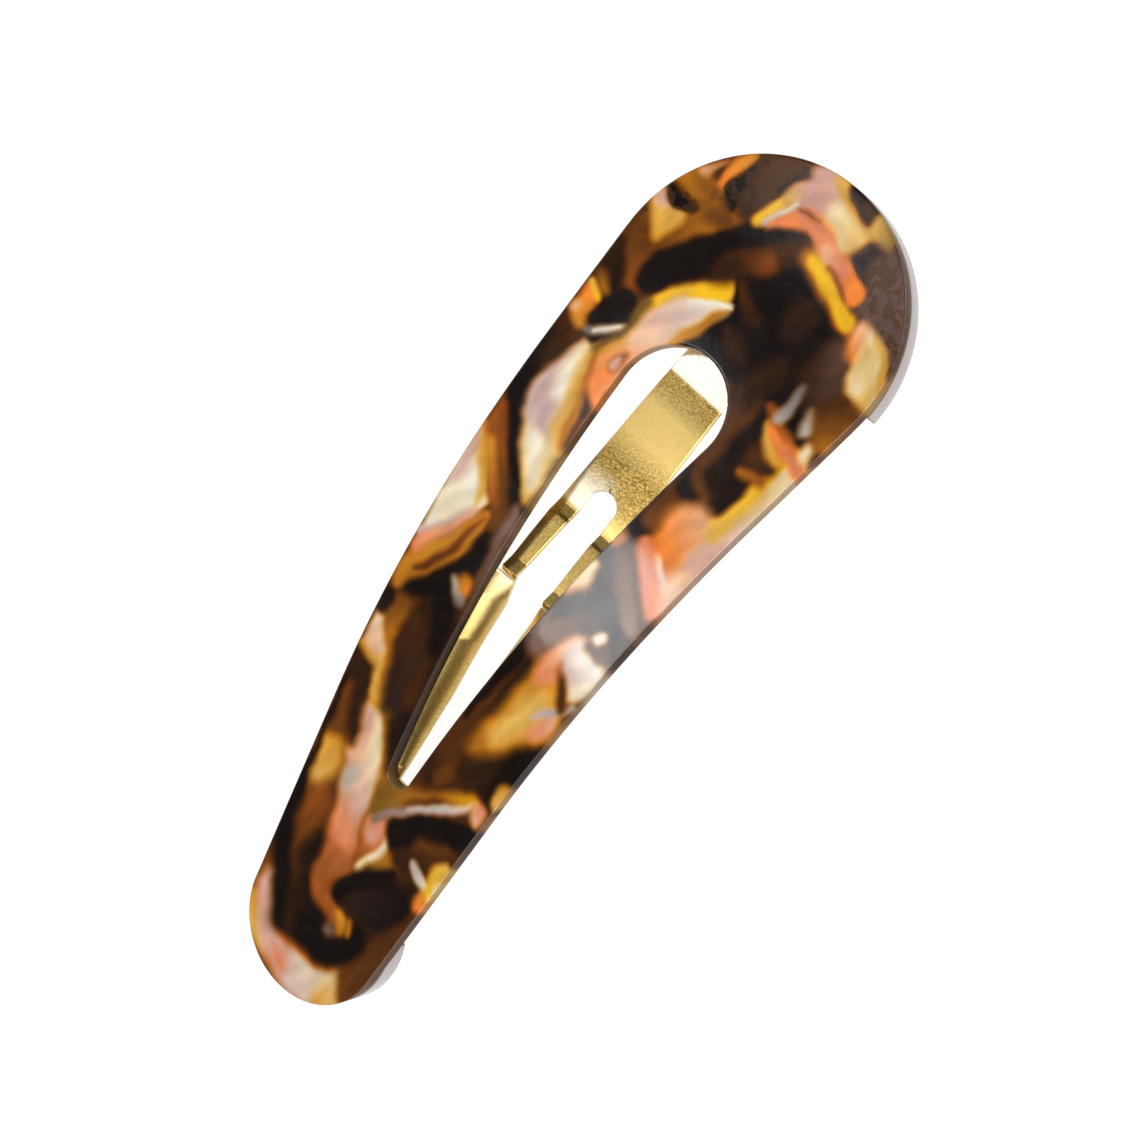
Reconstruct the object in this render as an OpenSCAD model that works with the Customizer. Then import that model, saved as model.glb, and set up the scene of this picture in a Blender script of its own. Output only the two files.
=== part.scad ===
// Snap hair clip: an arched acetate cover with a drop-shaped opening, two acetate pads
// under its ends, and a gilt sheet-metal clip whose forked tongue snaps down from the frame.
// X runs along the clip from the narrow tail to the round head, Y across it, Z up.
// It stands on the tips of its two pads, and its origin is on the surface under its middle.

/* [Cover] */
// Length of the cover, measured along its arch
clip_length = 84; // [76:0.5:96]
// Width across the round head
head_width = 26; // [24:0.5:32]
// Width across the round tail
tail_width = 13.6; // [12:0.2:17]
// How far each long side swells out past a straight line
side_bow = 0.2; // [0:0.05:0.6]
// Thickness of the cover sheet
cover_t = 1.3; // [1:0.1:2]
// Radius of the arch, over its middle
arch_r = 70; // [60:1:110]
// Length of the flat stretch at each end of the arch
end_flat = 25.25; // [24.5:0.25:27]

/* [Opening] */
// Width of the opening at its round head end
opening_head_w = 9.9; // [9:0.1:11.5]
// Width of the opening at its narrow tail end
opening_tail_w = 2.3; // [1.8:0.1:2.8]
// Centre of the opening's head round, from the tail
opening_head_at = 61.2; // [59:0.2:62]
// Centre of the opening's tail round, from the tail
opening_tail_at = 22.75; // [21:0.25:24.5]

/* [Pads] */
// Thickness of both pads
pad_t = 2.1; // [1.6:0.1:2.6]
// Width of the curved band of the head pad
head_pad_band = 4; // [3.6:0.1:4.4]
// Length of the head pad along the clip
head_pad_length = 13.1; // [12:0.1:14]
// Length of the tail pad along the clip
tail_pad_length = 9.2; // [7:0.1:11]
// Least wall between the tail pad's seat and its round side
seat_wall = 0.5; // [0.3:0.1:0.8]
// How much is levelled off the lowest tip of each pad, where the clip stands
tip_level = 0.12; // [0.05:0.01:0.2]
// Glue gap between bonded pieces
glue_gap = 0.05; // [0.03:0.01:0.08]

/* [Frame] */
// Thickness of the sheet metal
metal_t = 0.4; // [0.3:0.05:0.5]
// Distance of the frame's outer edge from the cover's edge
frame_inset = 1.6; // [1.3:0.1:2]
// How far the frame's inner edge lies back from the opening, towards the head
frame_setback = 0.9; // [0.6:0.1:1.2]
// Distance of the frame's tail end from the cover's tail end
frame_tail_inset = 3; // [2.4:0.1:4]
// Where the frame's wings end and the tongue's arms start, from the tail
root_at = 41.6; // [40:0.1:43]
// Where the slot between the wings ends, from the tail
slot_tail_at = 21.3; // [20.5:0.1:23]
// How deep the wings drop under the frame's flange
wing_drop = 1.45; // [1:0.05:1.8]
// Half width of the slot between the wings at their root end
slot_half = 1.6; // [1.3:0.05:1.8]

/* [Tongue] */
// Gap between the tongue's arms and the frame's wings, and at the pads
root_gap = 0.12; // [0.08:0.01:0.2]
// End of the tongue's tip, from the tail
tip_at = 71.5; // [70:0.1:72]
// Cross crease where the tip bends up, from the tail
crease_at = 63.5; // [62.5:0.1:65]
// Half width of the plate at the crease
plate_half = 2.88; // [2.6:0.02:3.1]
// Half width of the fork where the plate ends
fork_half = 3.3; // [3:0.05:3.5]
// Depth of the plate under the cover's upper face, at the crease
crease_depth = 2.4; // [2.3:0.05:2.7]
// Depth of the plate under the cover's upper face, at the fork
fork_depth = 3.3; // [3:0.05:3.6]
// Depth of the tongue's tip under the cover's upper face
tip_depth = 2.05; // [2:0.05:2.2]
// Depth of the tongue's arms under the cover's upper face, at their root
root_depth = 2.1; // [2:0.05:2.4]
// First cross crimp, where the plate ends and the arms start, from the tail
crimp_at = 49.3; // [48.5:0.1:50.5]
// Round end of the slot between the arms, from the tail
fork_slot_at = 52.4; // [51.6:0.1:53]
// Half width of the slot between the arms
fork_slot_half = 1.4; // [1.2:0.05:1.6]
// Length of a crimp along the clip
crimp_length = 0.8; // [0.6:0.1:1]
// Height of the step in a crimp
crimp_step = 0.35; // [0.2:0.05:0.45]
// Width of each arm at its root
arm_width = 1.55; // [1.3:0.05:1.7]
// Rounding of the tip's corners
tip_round = 1.6; // [1:0.1:2.4]

/* [Hidden] */
$fn = 96;

// Angle between neighbouring edges of a round end in the sheet pieces
round_step = 6;
// Longest strip along the arch
strip = 2.5;
// Where a closed cross line has its inner points, as a share of its half width
inner_share = 0.3;
// Stations closer than this are the same place
same = 0.001;

head_r = head_width / 2;
tail_r = tail_width / 2;
head_c = clip_length - head_r;
tail_c = tail_r;
arch_from = end_flat;
arch_to = clip_length - end_flat;
arch_mid = clip_length / 2;
end_angle = (arch_to - arch_from) / 2 / arch_r * 180 / PI;
end_drop = arch_r * (1 - cos(end_angle)) + end_flat * sin(end_angle);
pad_top = cover_t + glue_gap;
pad_bottom = pad_top + pad_t;
flange_depth = cover_t + glue_gap;
apex_z = end_drop + pad_bottom * cos(end_angle) - tip_level;
opening_head_r = opening_head_w / 2;
opening_tail_r = opening_tail_w / 2;

// Slope of the arch at a place along it, positive where it falls towards the head
function slope(u) =
    u < arch_from ? -end_angle :
    u > arch_to ? end_angle :
    (u - arch_mid) / arch_r * 180 / PI;

// Place along X and height of the upper face at a place along the arch
function along(u) =
    arch_r * sin(slope(u)) + (u - min(max(u, arch_from), arch_to)) * cos(end_angle);
function height(u) =
    apex_z - arch_r * (1 - cos(slope(u))) - abs(u - min(max(u, arch_from), arch_to)) * sin(end_angle);

// A point from its place along the arch, across it, and its depth under the upper face
function place(u, v, depth) =
    [along(u) - depth * sin(slope(u)), v, height(u) - depth * cos(slope(u))];

function sort_up(list) =
    len(list) <= 1 ? list :
    let (pivot = list[floor(len(list) / 2)])
    concat(
        sort_up([for (x = list) if (x < pivot) x]),
        [pivot],
        sort_up([for (x = list) if (x > pivot) x])
    );

// Keeps the stations that lie well clear of the one before them
function thin_out(list, least) =
    [for (i = [0 : len(list) - 1]) if (i == 0 || list[i] - list[i - 1] > least) list[i]];

// Half width at u of a drop shape between a small round and a large round
function drop_half(u, small_c, small_r, large_c, large_r, bow) =
    let (
        lean = (large_r - small_r) / (large_c - small_c),
        rise = sqrt(1 - lean * lean),
        small_u = small_c - small_r * lean,
        large_u = large_c - large_r * lean,
        share = min(max((u - small_c) / (large_c - small_c), 0), 1),
        swell = bow * 4 * share * (1 - share)
    )
    swell + (
        u < small_u ? sqrt(max(small_r * small_r - (u - small_c) * (u - small_c), 0)) :
        u > large_u ? sqrt(max(large_r * large_r - (u - large_c) * (u - large_c), 0)) :
        rise * (small_r + (large_r - small_r) * (u - small_u) / (large_u - small_u))
    );

function cover_half(u) = drop_half(u, tail_c, tail_r, head_c, head_r, side_bow);
function opening_half(u) =
    drop_half(u, opening_tail_at, opening_tail_r, opening_head_at, opening_head_r, 0);

// Stations round one end of a drop shape; side is 1 for a head end and -1 for a tail end
function round_stations(c, r, side) =
    [for (a = [round_step / 2 : round_step : 90 + round_step / 2]) c + side * r * cos(a)];

function even_stations(from, to) =
    let (count = ceil((to - from) / strip))
    [for (i = [0 : count]) from + (to - from) * i / count];

// Value at u of a table whose rows start with their place
function table_at(table, u, column) =
    u <= table[0][0] ? table[0][column] :
    u >= table[len(table) - 1][0] ? table[len(table) - 1][column] :
    [for (i = [0 : len(table) - 2]) if (u >= table[i][0] && u < table[i + 1][0])
        table[i][column] + (table[i + 1][column] - table[i][column])
            * (u - table[i][0]) / (table[i + 1][0] - table[i][0])][0];

// A bent sheet as one solid. Each row is a cross line over the clip:
// [place, half widths from the edge inwards, their depths, true if open between the last two].
module bent_sheet(rows, thickness) {
    half_count = len(rows[0][1]);
    last_column = 2 * half_count - 1;
    last_row = len(rows) - 1;
    points = [
        for (row = rows, column = [0 : last_column], side = [0, 1])
            let (
                inward = column < half_count ? column : last_column - column,
                sign = column < half_count ? 1 : -1
            )
            place(row[0], sign * row[1][inward], row[2][inward] + side * thickness)
    ];
    function top(i, c) = 2 * (i * (last_column + 1) + c);
    function under(i, c) = top(i, c) + 1;
    function is_open(i) = i >= 0 && i < last_row && rows[i][3];
    middle = half_count - 1;
    function is_cut(i, c) = c == middle && is_open(i);
    steps = [0 : last_row - 1];
    columns = [0 : last_column - 1];
    upper_faces = [
        for (i = steps, c = columns) if (!is_cut(i, c))
            [top(i, c), top(i + 1, c), top(i + 1, c + 1), top(i, c + 1)]
    ];
    under_faces = [
        for (i = steps, c = columns) if (!is_cut(i, c))
            [under(i, c), under(i, c + 1), under(i + 1, c + 1), under(i + 1, c)]
    ];
    side_faces = [
        for (i = steps, side = [0, 1])
            let (c = side * last_column, a = i + side, b = i + 1 - side)
            [top(a, c), under(a, c), under(b, c), top(b, c)]
    ];
    end_faces = [
        for (c = columns, end = [0, 1])
            let (i = end * last_row, a = c + end, b = c + 1 - end)
            if (!is_cut(end * (last_row - 1), c))
                [top(i, a), top(i, b), under(i, b), under(i, a)]
    ];
    slot_side_faces = [
        for (i = steps, side = [0, 1]) if (is_open(i))
            let (c = middle + side, a = i + side, b = i + 1 - side)
            [top(a, c), top(b, c), under(b, c), under(a, c)]
    ];
    slot_end_faces = [
        for (i = [1 : last_row - 1]) if (is_open(i) != is_open(i - 1))
            let (a = middle + (is_open(i) ? 0 : 1), b = middle + (is_open(i) ? 1 : 0))
            [top(i, a), under(i, a), under(i, b), top(i, b)]
    ];
    faces = concat(upper_faces, under_faces, side_faces, end_faces, slot_side_faces, slot_end_faces);
    polyhedron(points = points, faces = faces, convexity = 6);
}

// Puts a flat piece under the flat stretch at the head. In it X is the place along the clip
// and Z is the height over the cover's upper face.
module on_head() {
    translate(place(arch_to, 0, 0))
        rotate([0, end_angle, 0])
            translate([-arch_to, 0, 0])
                children();
}

// The same under the flat stretch at the tail
module on_tail() {
    translate(place(arch_from, 0, 0))
        rotate([0, -end_angle, 0])
            translate([-arch_from, 0, 0])
                children();
}

// Acetate sheet, cut to a drop with a drop-shaped opening and then arched
module cover() {
    opening_first = opening_tail_at - opening_tail_r * cos(round_step / 2);
    opening_last = opening_head_at + opening_head_r * cos(round_step / 2);
    stations = thin_out(sort_up(concat(
        round_stations(tail_c, tail_r, -1),
        round_stations(head_c, head_r, 1),
        round_stations(opening_tail_at, opening_tail_r, -1),
        round_stations(opening_head_at, opening_head_r, 1),
        even_stations(tail_c, head_c)
    )), same);
    rows = [
        for (u = stations)
            let (
                inside = u > opening_first - same / 2 && u < opening_last + same / 2,
                outer = cover_half(u),
                inner = inside ? opening_half(u) : outer * inner_share
            )
            [u, [outer, inner], [0, 0], inside && u < opening_last - same / 2]
    ];
    color([0.36, 0.19, 0.07])
        bent_sheet(rows, cover_t);
}

// Takes off what reaches under the surface that the clip stands on
module level_tips() {
    difference() {
        children();
        translate([-clip_length, -head_width, -pad_t])
            cube([2 * clip_length, 2 * head_width, pad_t]);
    }
}

// Curved acetate band under the head's rim, with a seat for the frame's head
module head_pad() {
    seat_r = head_r - frame_inset + root_gap;
    color([0.83, 0.77, 0.70])
        level_tips()
            on_head()
                difference() {
                    translate([head_c, 0, -pad_bottom])
                        linear_extrude(pad_t)
                            difference() {
                                circle(head_r);
                                circle(head_r - head_pad_band);
                                translate([head_r - head_pad_length - 2 * head_r, -head_r - 1])
                                    square([2 * head_r, 2 * head_r + 2]);
                            }
                    translate([head_c, 0, -flange_depth - metal_t - glue_gap])
                        cylinder(h = metal_t + glue_gap + 1, r = seat_r);
                }
}

// Acetate pad under the tail, cut off square, with a seat for the frame's tail
module tail_pad() {
    seat_half = cover_half(tail_pad_length) - frame_inset + root_gap;
    color([0.83, 0.77, 0.70])
        level_tips()
            on_tail()
                difference() {
                    translate([0, 0, -pad_bottom])
                        linear_extrude(pad_t)
                            difference() {
                                translate([tail_c, 0])
                                    circle(tail_r);
                                translate([tail_pad_length, -tail_r - 1])
                                    square([2 * tail_r, 2 * tail_r + 2]);
                            }
                    translate([0, 0, -flange_depth - metal_t - glue_gap])
                        linear_extrude(metal_t + glue_gap + 1)
                            intersection() {
                                translate([frame_tail_inset - root_gap, -seat_half])
                                    square([2 * tail_r, 2 * seat_half]);
                                union() {
                                    translate([tail_c, 0])
                                        circle(tail_r - seat_wall);
                                    translate([tail_c, -tail_r])
                                        square([2 * tail_r, 2 * tail_r]);
                                }
                            }
                }
}

// Sheet-metal frame under the cover: a ring that follows the rim, with two wings that drop
// beside the slot and run together into the tail plate
module clip_frame() {
    ring_r = head_r - frame_inset;
    ring_inner_r = opening_head_r + frame_setback;
    ring_last = opening_head_at + ring_inner_r * cos(round_step / 2);
    fold_out = 0.1;
    least_wing = 0.25;
    end_step = 0.15;
    flat = [flange_depth, flange_depth, flange_depth];
    function frame_half(u) =
        u < head_c ? cover_half(u) - frame_inset :
        sqrt(max(ring_r * ring_r - (u - head_c) * (u - head_c), 0));
    function ring_half(u) =
        drop_half(u, opening_tail_at, opening_tail_r, opening_head_at, ring_inner_r, 0);
    // Place as a share of the wing's length, share of the slot's half width, share of the drop
    wing_shares = [
        [0.00, 0.42, 0.18],
        [0.06, 0.46, 0.38],
        [0.21, 0.53, 0.72],
        [0.43, 0.60, 1.00],
        [0.69, 0.78, 1.00],
        [0.89, 0.88, 1.00],
        [1.00, 1.00, 0.52]
    ];
    wing_table = [
        for (row = wing_shares)
            [slot_tail_at + (root_at - slot_tail_at) * row[0], row[1] * slot_half, row[2] * wing_drop]
    ];
    tail_rows = [
        for (u = even_stations(frame_tail_inset, slot_tail_at - 4 * end_step))
            let (outer = frame_half(u))
            [u, [outer, outer * 2 * inner_share, outer * inner_share], flat, false]
    ];
    wing_stations = thin_out(sort_up(concat(
        even_stations(slot_tail_at, root_at),
        [for (row = wing_table) row[0]]
    )), same);
    wing_rows = [
        for (u = wing_stations)
            let (
                fold = max(opening_half(u), opening_tail_r) + fold_out,
                inner = min(table_at(wing_table, u, 1), fold - least_wing),
                edge_depth = flange_depth + table_at(wing_table, u, 2)
            )
            [u, [frame_half(u), fold, inner], [flange_depth, flange_depth, edge_depth], true]
    ];
    ring_stations = thin_out(sort_up(concat(
        even_stations(root_at + end_step, head_c),
        round_stations(opening_head_at, ring_inner_r, 1),
        [for (a = [round_step / 2 : round_step : 90]) head_c + ring_r * cos(a)]
    )), 20 * same);
    ring_rows = [
        for (u = ring_stations)
            let (
                outer = frame_half(u),
                inside = u < ring_last + same / 2,
                inner = inside ? ring_half(u) : outer * inner_share
            )
            [u, [outer, (outer + inner) / 2, inner], flat, u < ring_last - same / 2]
    ];
    color([0.83, 0.68, 0.30])
        bent_sheet(concat(tail_rows, wing_rows, ring_rows), metal_t);
}

// Forked tongue: tip, plate, slot with a round end, and two arms between cross crimps
module tongue() {
    arm_from = root_at + root_gap;
    slot_c = fork_slot_at - fork_slot_half;
    crimp_low = crimp_at - crimp_length;
    plate_from = crimp_at + crimp_length;
    arm_half = slot_half + arm_width;
    arm_end_depth = fork_depth - crimp_step;
    tip_half = plate_half * 0.97;
    tip_from = tip_at - 1.5 * tip_round;
    // Place, half width, half width of the slot, depth
    outline_table = [
        [arm_from, arm_half, slot_half, root_depth],
        [arm_from + crimp_length * 0.6, arm_half, slot_half, root_depth - crimp_step],
        [arm_from + crimp_length * 2, arm_half, slot_half, root_depth + crimp_step * 0.4],
        [crimp_low - crimp_length * 0.4, fork_half, fork_slot_half, arm_end_depth],
        [crimp_low, fork_half, fork_slot_half, arm_end_depth + crimp_step * 0.4],
        [crimp_at, fork_half, fork_slot_half, fork_depth],
        [plate_from, fork_half, fork_slot_half, fork_depth],
        [crease_at, plate_half, 0, crease_depth],
        [tip_from, tip_half, 0, tip_depth + (crease_depth - tip_depth) * 0.2],
        [tip_at, tip_half, 0, tip_depth]
    ];
    // The plate is straight while the cover over it is arched, so its depth is taken from a chord
    chord_a = place(plate_from, 0, fork_depth);
    chord_b = place(crease_at, 0, crease_depth);
    function chord_depth(u) =
        let (
            face = place(u, 0, 0),
            share = (face[0] - chord_a[0]) / (chord_b[0] - chord_a[0]),
            below = face[2] - chord_a[2] - (chord_b[2] - chord_a[2]) * share
        )
        below * cos(slope(u));
    function tongue_depth(u) =
        u > plate_from && u < crease_at ? chord_depth(u) : table_at(outline_table, u, 3);
    function tongue_half(u) =
        let (past = u - (tip_at - tip_round))
        past < 0 ? table_at(outline_table, u, 1) :
        tip_half - tip_round + sqrt(max(tip_round * tip_round - past * past, 0));
    function slot_half_at(u) =
        let (past = u - slot_c)
        past < 0 ? table_at(outline_table, u, 2) :
        sqrt(max(fork_slot_half * fork_slot_half - past * past, 0));
    slot_last = slot_c + fork_slot_half * cos(round_step / 2);
    stations = thin_out(sort_up(concat(
        [for (row = outline_table) row[0]],
        even_stations(arm_from + crimp_length * 2, crimp_low - crimp_length * 0.4),
        even_stations(slot_c, tip_at - tip_round),
        round_stations(slot_c, fork_slot_half, 1),
        [for (a = [15 : 15 : 90]) tip_at - tip_round + tip_round * sin(a)]
    )), same);
    rows = [
        for (u = stations)
            let (
                outer = tongue_half(u),
                inside = u < slot_last + same / 2,
                inner = inside ? slot_half_at(u) : outer * inner_share,
                depth = tongue_depth(u)
            )
            [u, [outer, inner], [depth, depth], u < slot_last - same / 2]
    ];
    color([0.93, 0.80, 0.46])
        bent_sheet(rows, metal_t);
}

cover();
head_pad();
tail_pad();
clip_frame();
tongue();
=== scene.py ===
import math
from contextlib import contextmanager

import bpy
import numpy as np
from mathutils import Matrix, Vector


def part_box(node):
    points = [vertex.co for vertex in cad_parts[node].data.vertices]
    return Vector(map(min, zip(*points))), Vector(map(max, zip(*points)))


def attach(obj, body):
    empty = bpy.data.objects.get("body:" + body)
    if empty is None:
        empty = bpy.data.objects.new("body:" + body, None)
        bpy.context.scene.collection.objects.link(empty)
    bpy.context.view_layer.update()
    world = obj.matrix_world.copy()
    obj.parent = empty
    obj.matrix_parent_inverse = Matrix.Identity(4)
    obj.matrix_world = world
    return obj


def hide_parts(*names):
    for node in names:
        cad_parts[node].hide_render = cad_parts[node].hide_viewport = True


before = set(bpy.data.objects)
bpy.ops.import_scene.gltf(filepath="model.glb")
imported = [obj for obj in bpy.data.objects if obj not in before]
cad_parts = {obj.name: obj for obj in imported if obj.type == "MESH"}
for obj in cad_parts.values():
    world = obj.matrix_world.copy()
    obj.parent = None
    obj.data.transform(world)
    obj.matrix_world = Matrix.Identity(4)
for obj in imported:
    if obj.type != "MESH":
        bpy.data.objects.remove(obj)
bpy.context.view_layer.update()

bl_info = {
    "name": "Snap hair clip",
    "version": (1, 0, 0),
    "blender": (4, 5, 0),
    "location": "View3D > Sidebar > Hair clip",
    "description": "Dresses an arched acetate snap hair clip with its gilt sheet-metal tongue",
    "category": "Object",
}

MM = 0.001
# The highest step of an eight-bit colour chart
CHART_TOP = 255


# Sizes and colours that a user would change

def length(name, description, default, low, high):
    """A length in metres, given in millimetres."""
    return bpy.props.FloatProperty(
        name=name, description=description, default=default * MM,
        min=low * MM, max=high * MM, unit="LENGTH", precision=5)


def colour(name, description, red, green, blue):
    """A colour, given in the steps of a colour chart."""
    return bpy.props.FloatVectorProperty(
        name=name, description=description, subtype="COLOR", size=3,
        default=linear(np.array((red, green, blue)) / CHART_TOP).tolist(), min=0, max=1)


def linear(values):
    """Light amounts of colour-chart values between 0 and 1."""
    return np.where(values <= 0.04045, values / 12.92, ((values + 0.055) / 1.055) ** 2.4)


def node_size(node, axis):
    """Size of a CAD node along one axis, in millimetres."""
    low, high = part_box(node)
    return (high[axis] - low[axis]) / MM


class ClipCoverSettings(bpy.types.PropertyGroup):
    head_width: length("Head width", "Width across the round head", node_size("cover", 1), 20, 34)
    tail_width: length("Tail width", "Width across the round tail", 13.6, 10, 18)
    arch_length: length("Length on the arch", "Length of the cover along its arch", 84, 70, 100)
    arch_radius: length("Arch radius", "Radius of the arch over its middle", 70, 50, 120)
    flat_length: length("Flat ends", "Length of the flat stretch at each end", 25.25, 20, 30)
    side_bow: length("Side bow", "How far each long side swells out", 0.2, 0, 0.6)
    sheet: length("Sheet thickness", "Thickness of the acetate sheet", 1.3, 0.8, 2)
    opening_head: length("Opening at the head", "Width of the opening at its head end", 9.9, 8, 12)
    opening_tail: length("Opening at the tail", "Width of the opening at its tail end", 2.3, 1, 3)
    opening_head_at: length("Opening head place", "Centre of the opening's head round", 61.2, 55, 65)
    opening_tail_at: length("Opening tail place", "Centre of the opening's tail round", 22.75, 20, 25)
    edge_round: length("Edge rounding", "Radius that tumbling gives the acetate edges", 0.22, 0.05, 0.5)


class ClipMetalSettings(bpy.types.PropertyGroup):
    edge_round: length("Edge rounding", "Radius of the stamped metal's edges", 0.05, 0.01, 0.1)
    gilt: colour("Gilt", "Colour of the gilt metal", 238, 205, 126)
    # The pale gilt is a painted highlight where bends show a bright reflection, and the deep gilt is
    # painted shade in the creases
    gilt_highlight: colour("Pale gilt", "Colour of the gilt where it was bent bright", 255, 251, 232)
    gilt_shade: colour("Deep gilt", "Colour of the gilt in its creases", 122, 95, 36)


class ClipStageSettings(bpy.types.PropertyGroup):
    floor: colour("Floor", "Colour of the floor", 250, 250, 250)
    azimuth: bpy.props.FloatProperty(
        name="Camera azimuth", description="Angle of the camera round the clip",
        default=math.radians(36.028), subtype="ANGLE")
    elevation: bpy.props.FloatProperty(
        name="Camera elevation", description="Height of the camera over the horizon",
        default=math.radians(62.010), subtype="ANGLE")
    roll: bpy.props.FloatProperty(
        name="Camera roll", description="Turn of the camera about its own axis",
        default=math.radians(-86.718), subtype="ANGLE")
    distance: length("Camera distance", "Distance of the camera", 800, 300, 2000)


# The arch: a place along it, across it, and a depth under its upper face

class Arch:
    """The cover's arch, round in its middle and flat at both ends."""

    def __init__(self, settings):
        self.radius = settings.arch_radius
        self.first = settings.flat_length
        self.last = settings.arch_length - settings.flat_length
        self.middle = settings.arch_length / 2
        self.tilt = (self.last - self.first) / 2 / self.radius
        self.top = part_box("cover")[1][2]

    def bend(self, along, across, depth):
        """Points of the arched clip for arrays of places on the flat sheet."""
        on_arc = np.clip(along, self.first, self.last)
        slope = (on_arc - self.middle) / self.radius
        past = along - on_arc
        x = self.radius * np.sin(slope) + past * math.cos(self.tilt) - depth * np.sin(slope)
        z = (self.top - self.radius * (1 - np.cos(slope))
             - np.abs(past) * math.sin(self.tilt) - depth * np.cos(slope))
        return np.stack([x, across, z], axis=-1)

    def slope(self, along):
        """Fall of the arch at a place along it, in radians."""
        return (min(max(along, self.first), self.last) - self.middle) / self.radius


# Shares of the whole way round that half the head round and half the tail round take
HEAD_SHARE = 0.115
TAIL_SHARE = 0.05


def drop_point(share, tail, tail_radius, head, head_radius, bow):
    """A point of a drop outline, for a share of the way round it from the middle of its head."""
    lean = (head_radius - tail_radius) / (head - tail)
    head_sweep = math.pi / 2 + math.asin(lean)
    tail_sweep = math.pi - head_sweep
    side = share if share <= 0.5 else 1 - share
    sign = 1 if share <= 0.5 else -1
    if side < HEAD_SHARE:
        angle = head_sweep * side / HEAD_SHARE
        return head + head_radius * math.cos(angle), sign * head_radius * math.sin(angle)
    if side > 0.5 - TAIL_SHARE:
        angle = math.pi - tail_sweep * (0.5 - side) / TAIL_SHARE
        return tail + tail_radius * math.cos(angle), sign * tail_radius * math.sin(angle)
    way = (side - HEAD_SHARE) / (0.5 - TAIL_SHARE - HEAD_SHARE)
    start = Vector((head + head_radius * math.cos(head_sweep), head_radius * math.sin(head_sweep)))
    end = Vector((tail + tail_radius * math.cos(head_sweep), tail_radius * math.sin(head_sweep)))
    point = start.lerp(end, way)
    run = (point.x - tail) / (head - tail)
    return point.x, sign * (point.y + bow * 4 * max(run * (1 - run), 0))


# The marbled sheet

PALETTE = {
    "black": (20, 11, 8), "coal": (42, 28, 24), "dark": (50, 27, 11), "umber": (78, 41, 13),
    "brown": (104, 57, 15), "chestnut": (150, 77, 24), "olive": (112, 82, 26), "amber": (184, 114, 26),
    "honey": (216, 148, 46), "gold": (226, 178, 88), "yellow": (250, 190, 26), "orange": (248, 134, 48),
    "salmon": (226, 132, 90), "peach": (236, 180, 140), "pink": (218, 168, 150),
    "mauve": (210, 178, 170), "cream": (239, 219, 178), "milk": (240, 232, 214),
    "mist": (180, 170, 158), "slate": (112, 106, 108), "taupe": (134, 106, 98),
    "smoke": (96, 68, 60), "rose": (198, 142, 128),
}
# What lies under all flakes
GROUND = "umber"
# What shines through where a light flake thins out over a dark one
GLOW = (132, 30.8, -88)
# Streaks along a flake: a share of its own colour, and chart steps on top
STREAK_SHARE = 0.05
STREAK_STEPS = (3, 2, 1)
# Width of a hard flake's edge in millimetres, what a softness of one adds, and the share of it that
# lies outside the outline
EDGE_WIDTH = 0.2
EDGE_SPREAD = 1.5
EDGE_OUTSIDE = 0.72
# How far outlines wander, in millimetres: a slow sway and a quick ripple
SWAY = 0.09
RIPPLE = 0.03
# Corners are cut by these lengths in millimetres, and by this share of a side at most
CORNER_CUTS = (0.5, 0.25, 0.1)
CUT_LIMIT = 0.3
# How far flakes slide along and across the sheet for each millimetre of depth
SLIDE_ALONG = 0.2
SLIDE_ACROSS = 0.35
# A painted highlight on the tumbled rim, strongest at this depth and within this reach, in millimetres
RIM = (206, 188, 176)
RIM_HIGHLIGHT = 0.4
RIM_DEPTH = 0.08
RIM_REACH = 0.07
# Painted shade makes the cut wall darker than the faces, and reaches closer to them with a higher onset
WALL_SHADE = 0.62
WALL_ONSET = 4
# Lightness of red, green and blue
LUMA = np.array((0.3, 0.59, 0.11))
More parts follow.
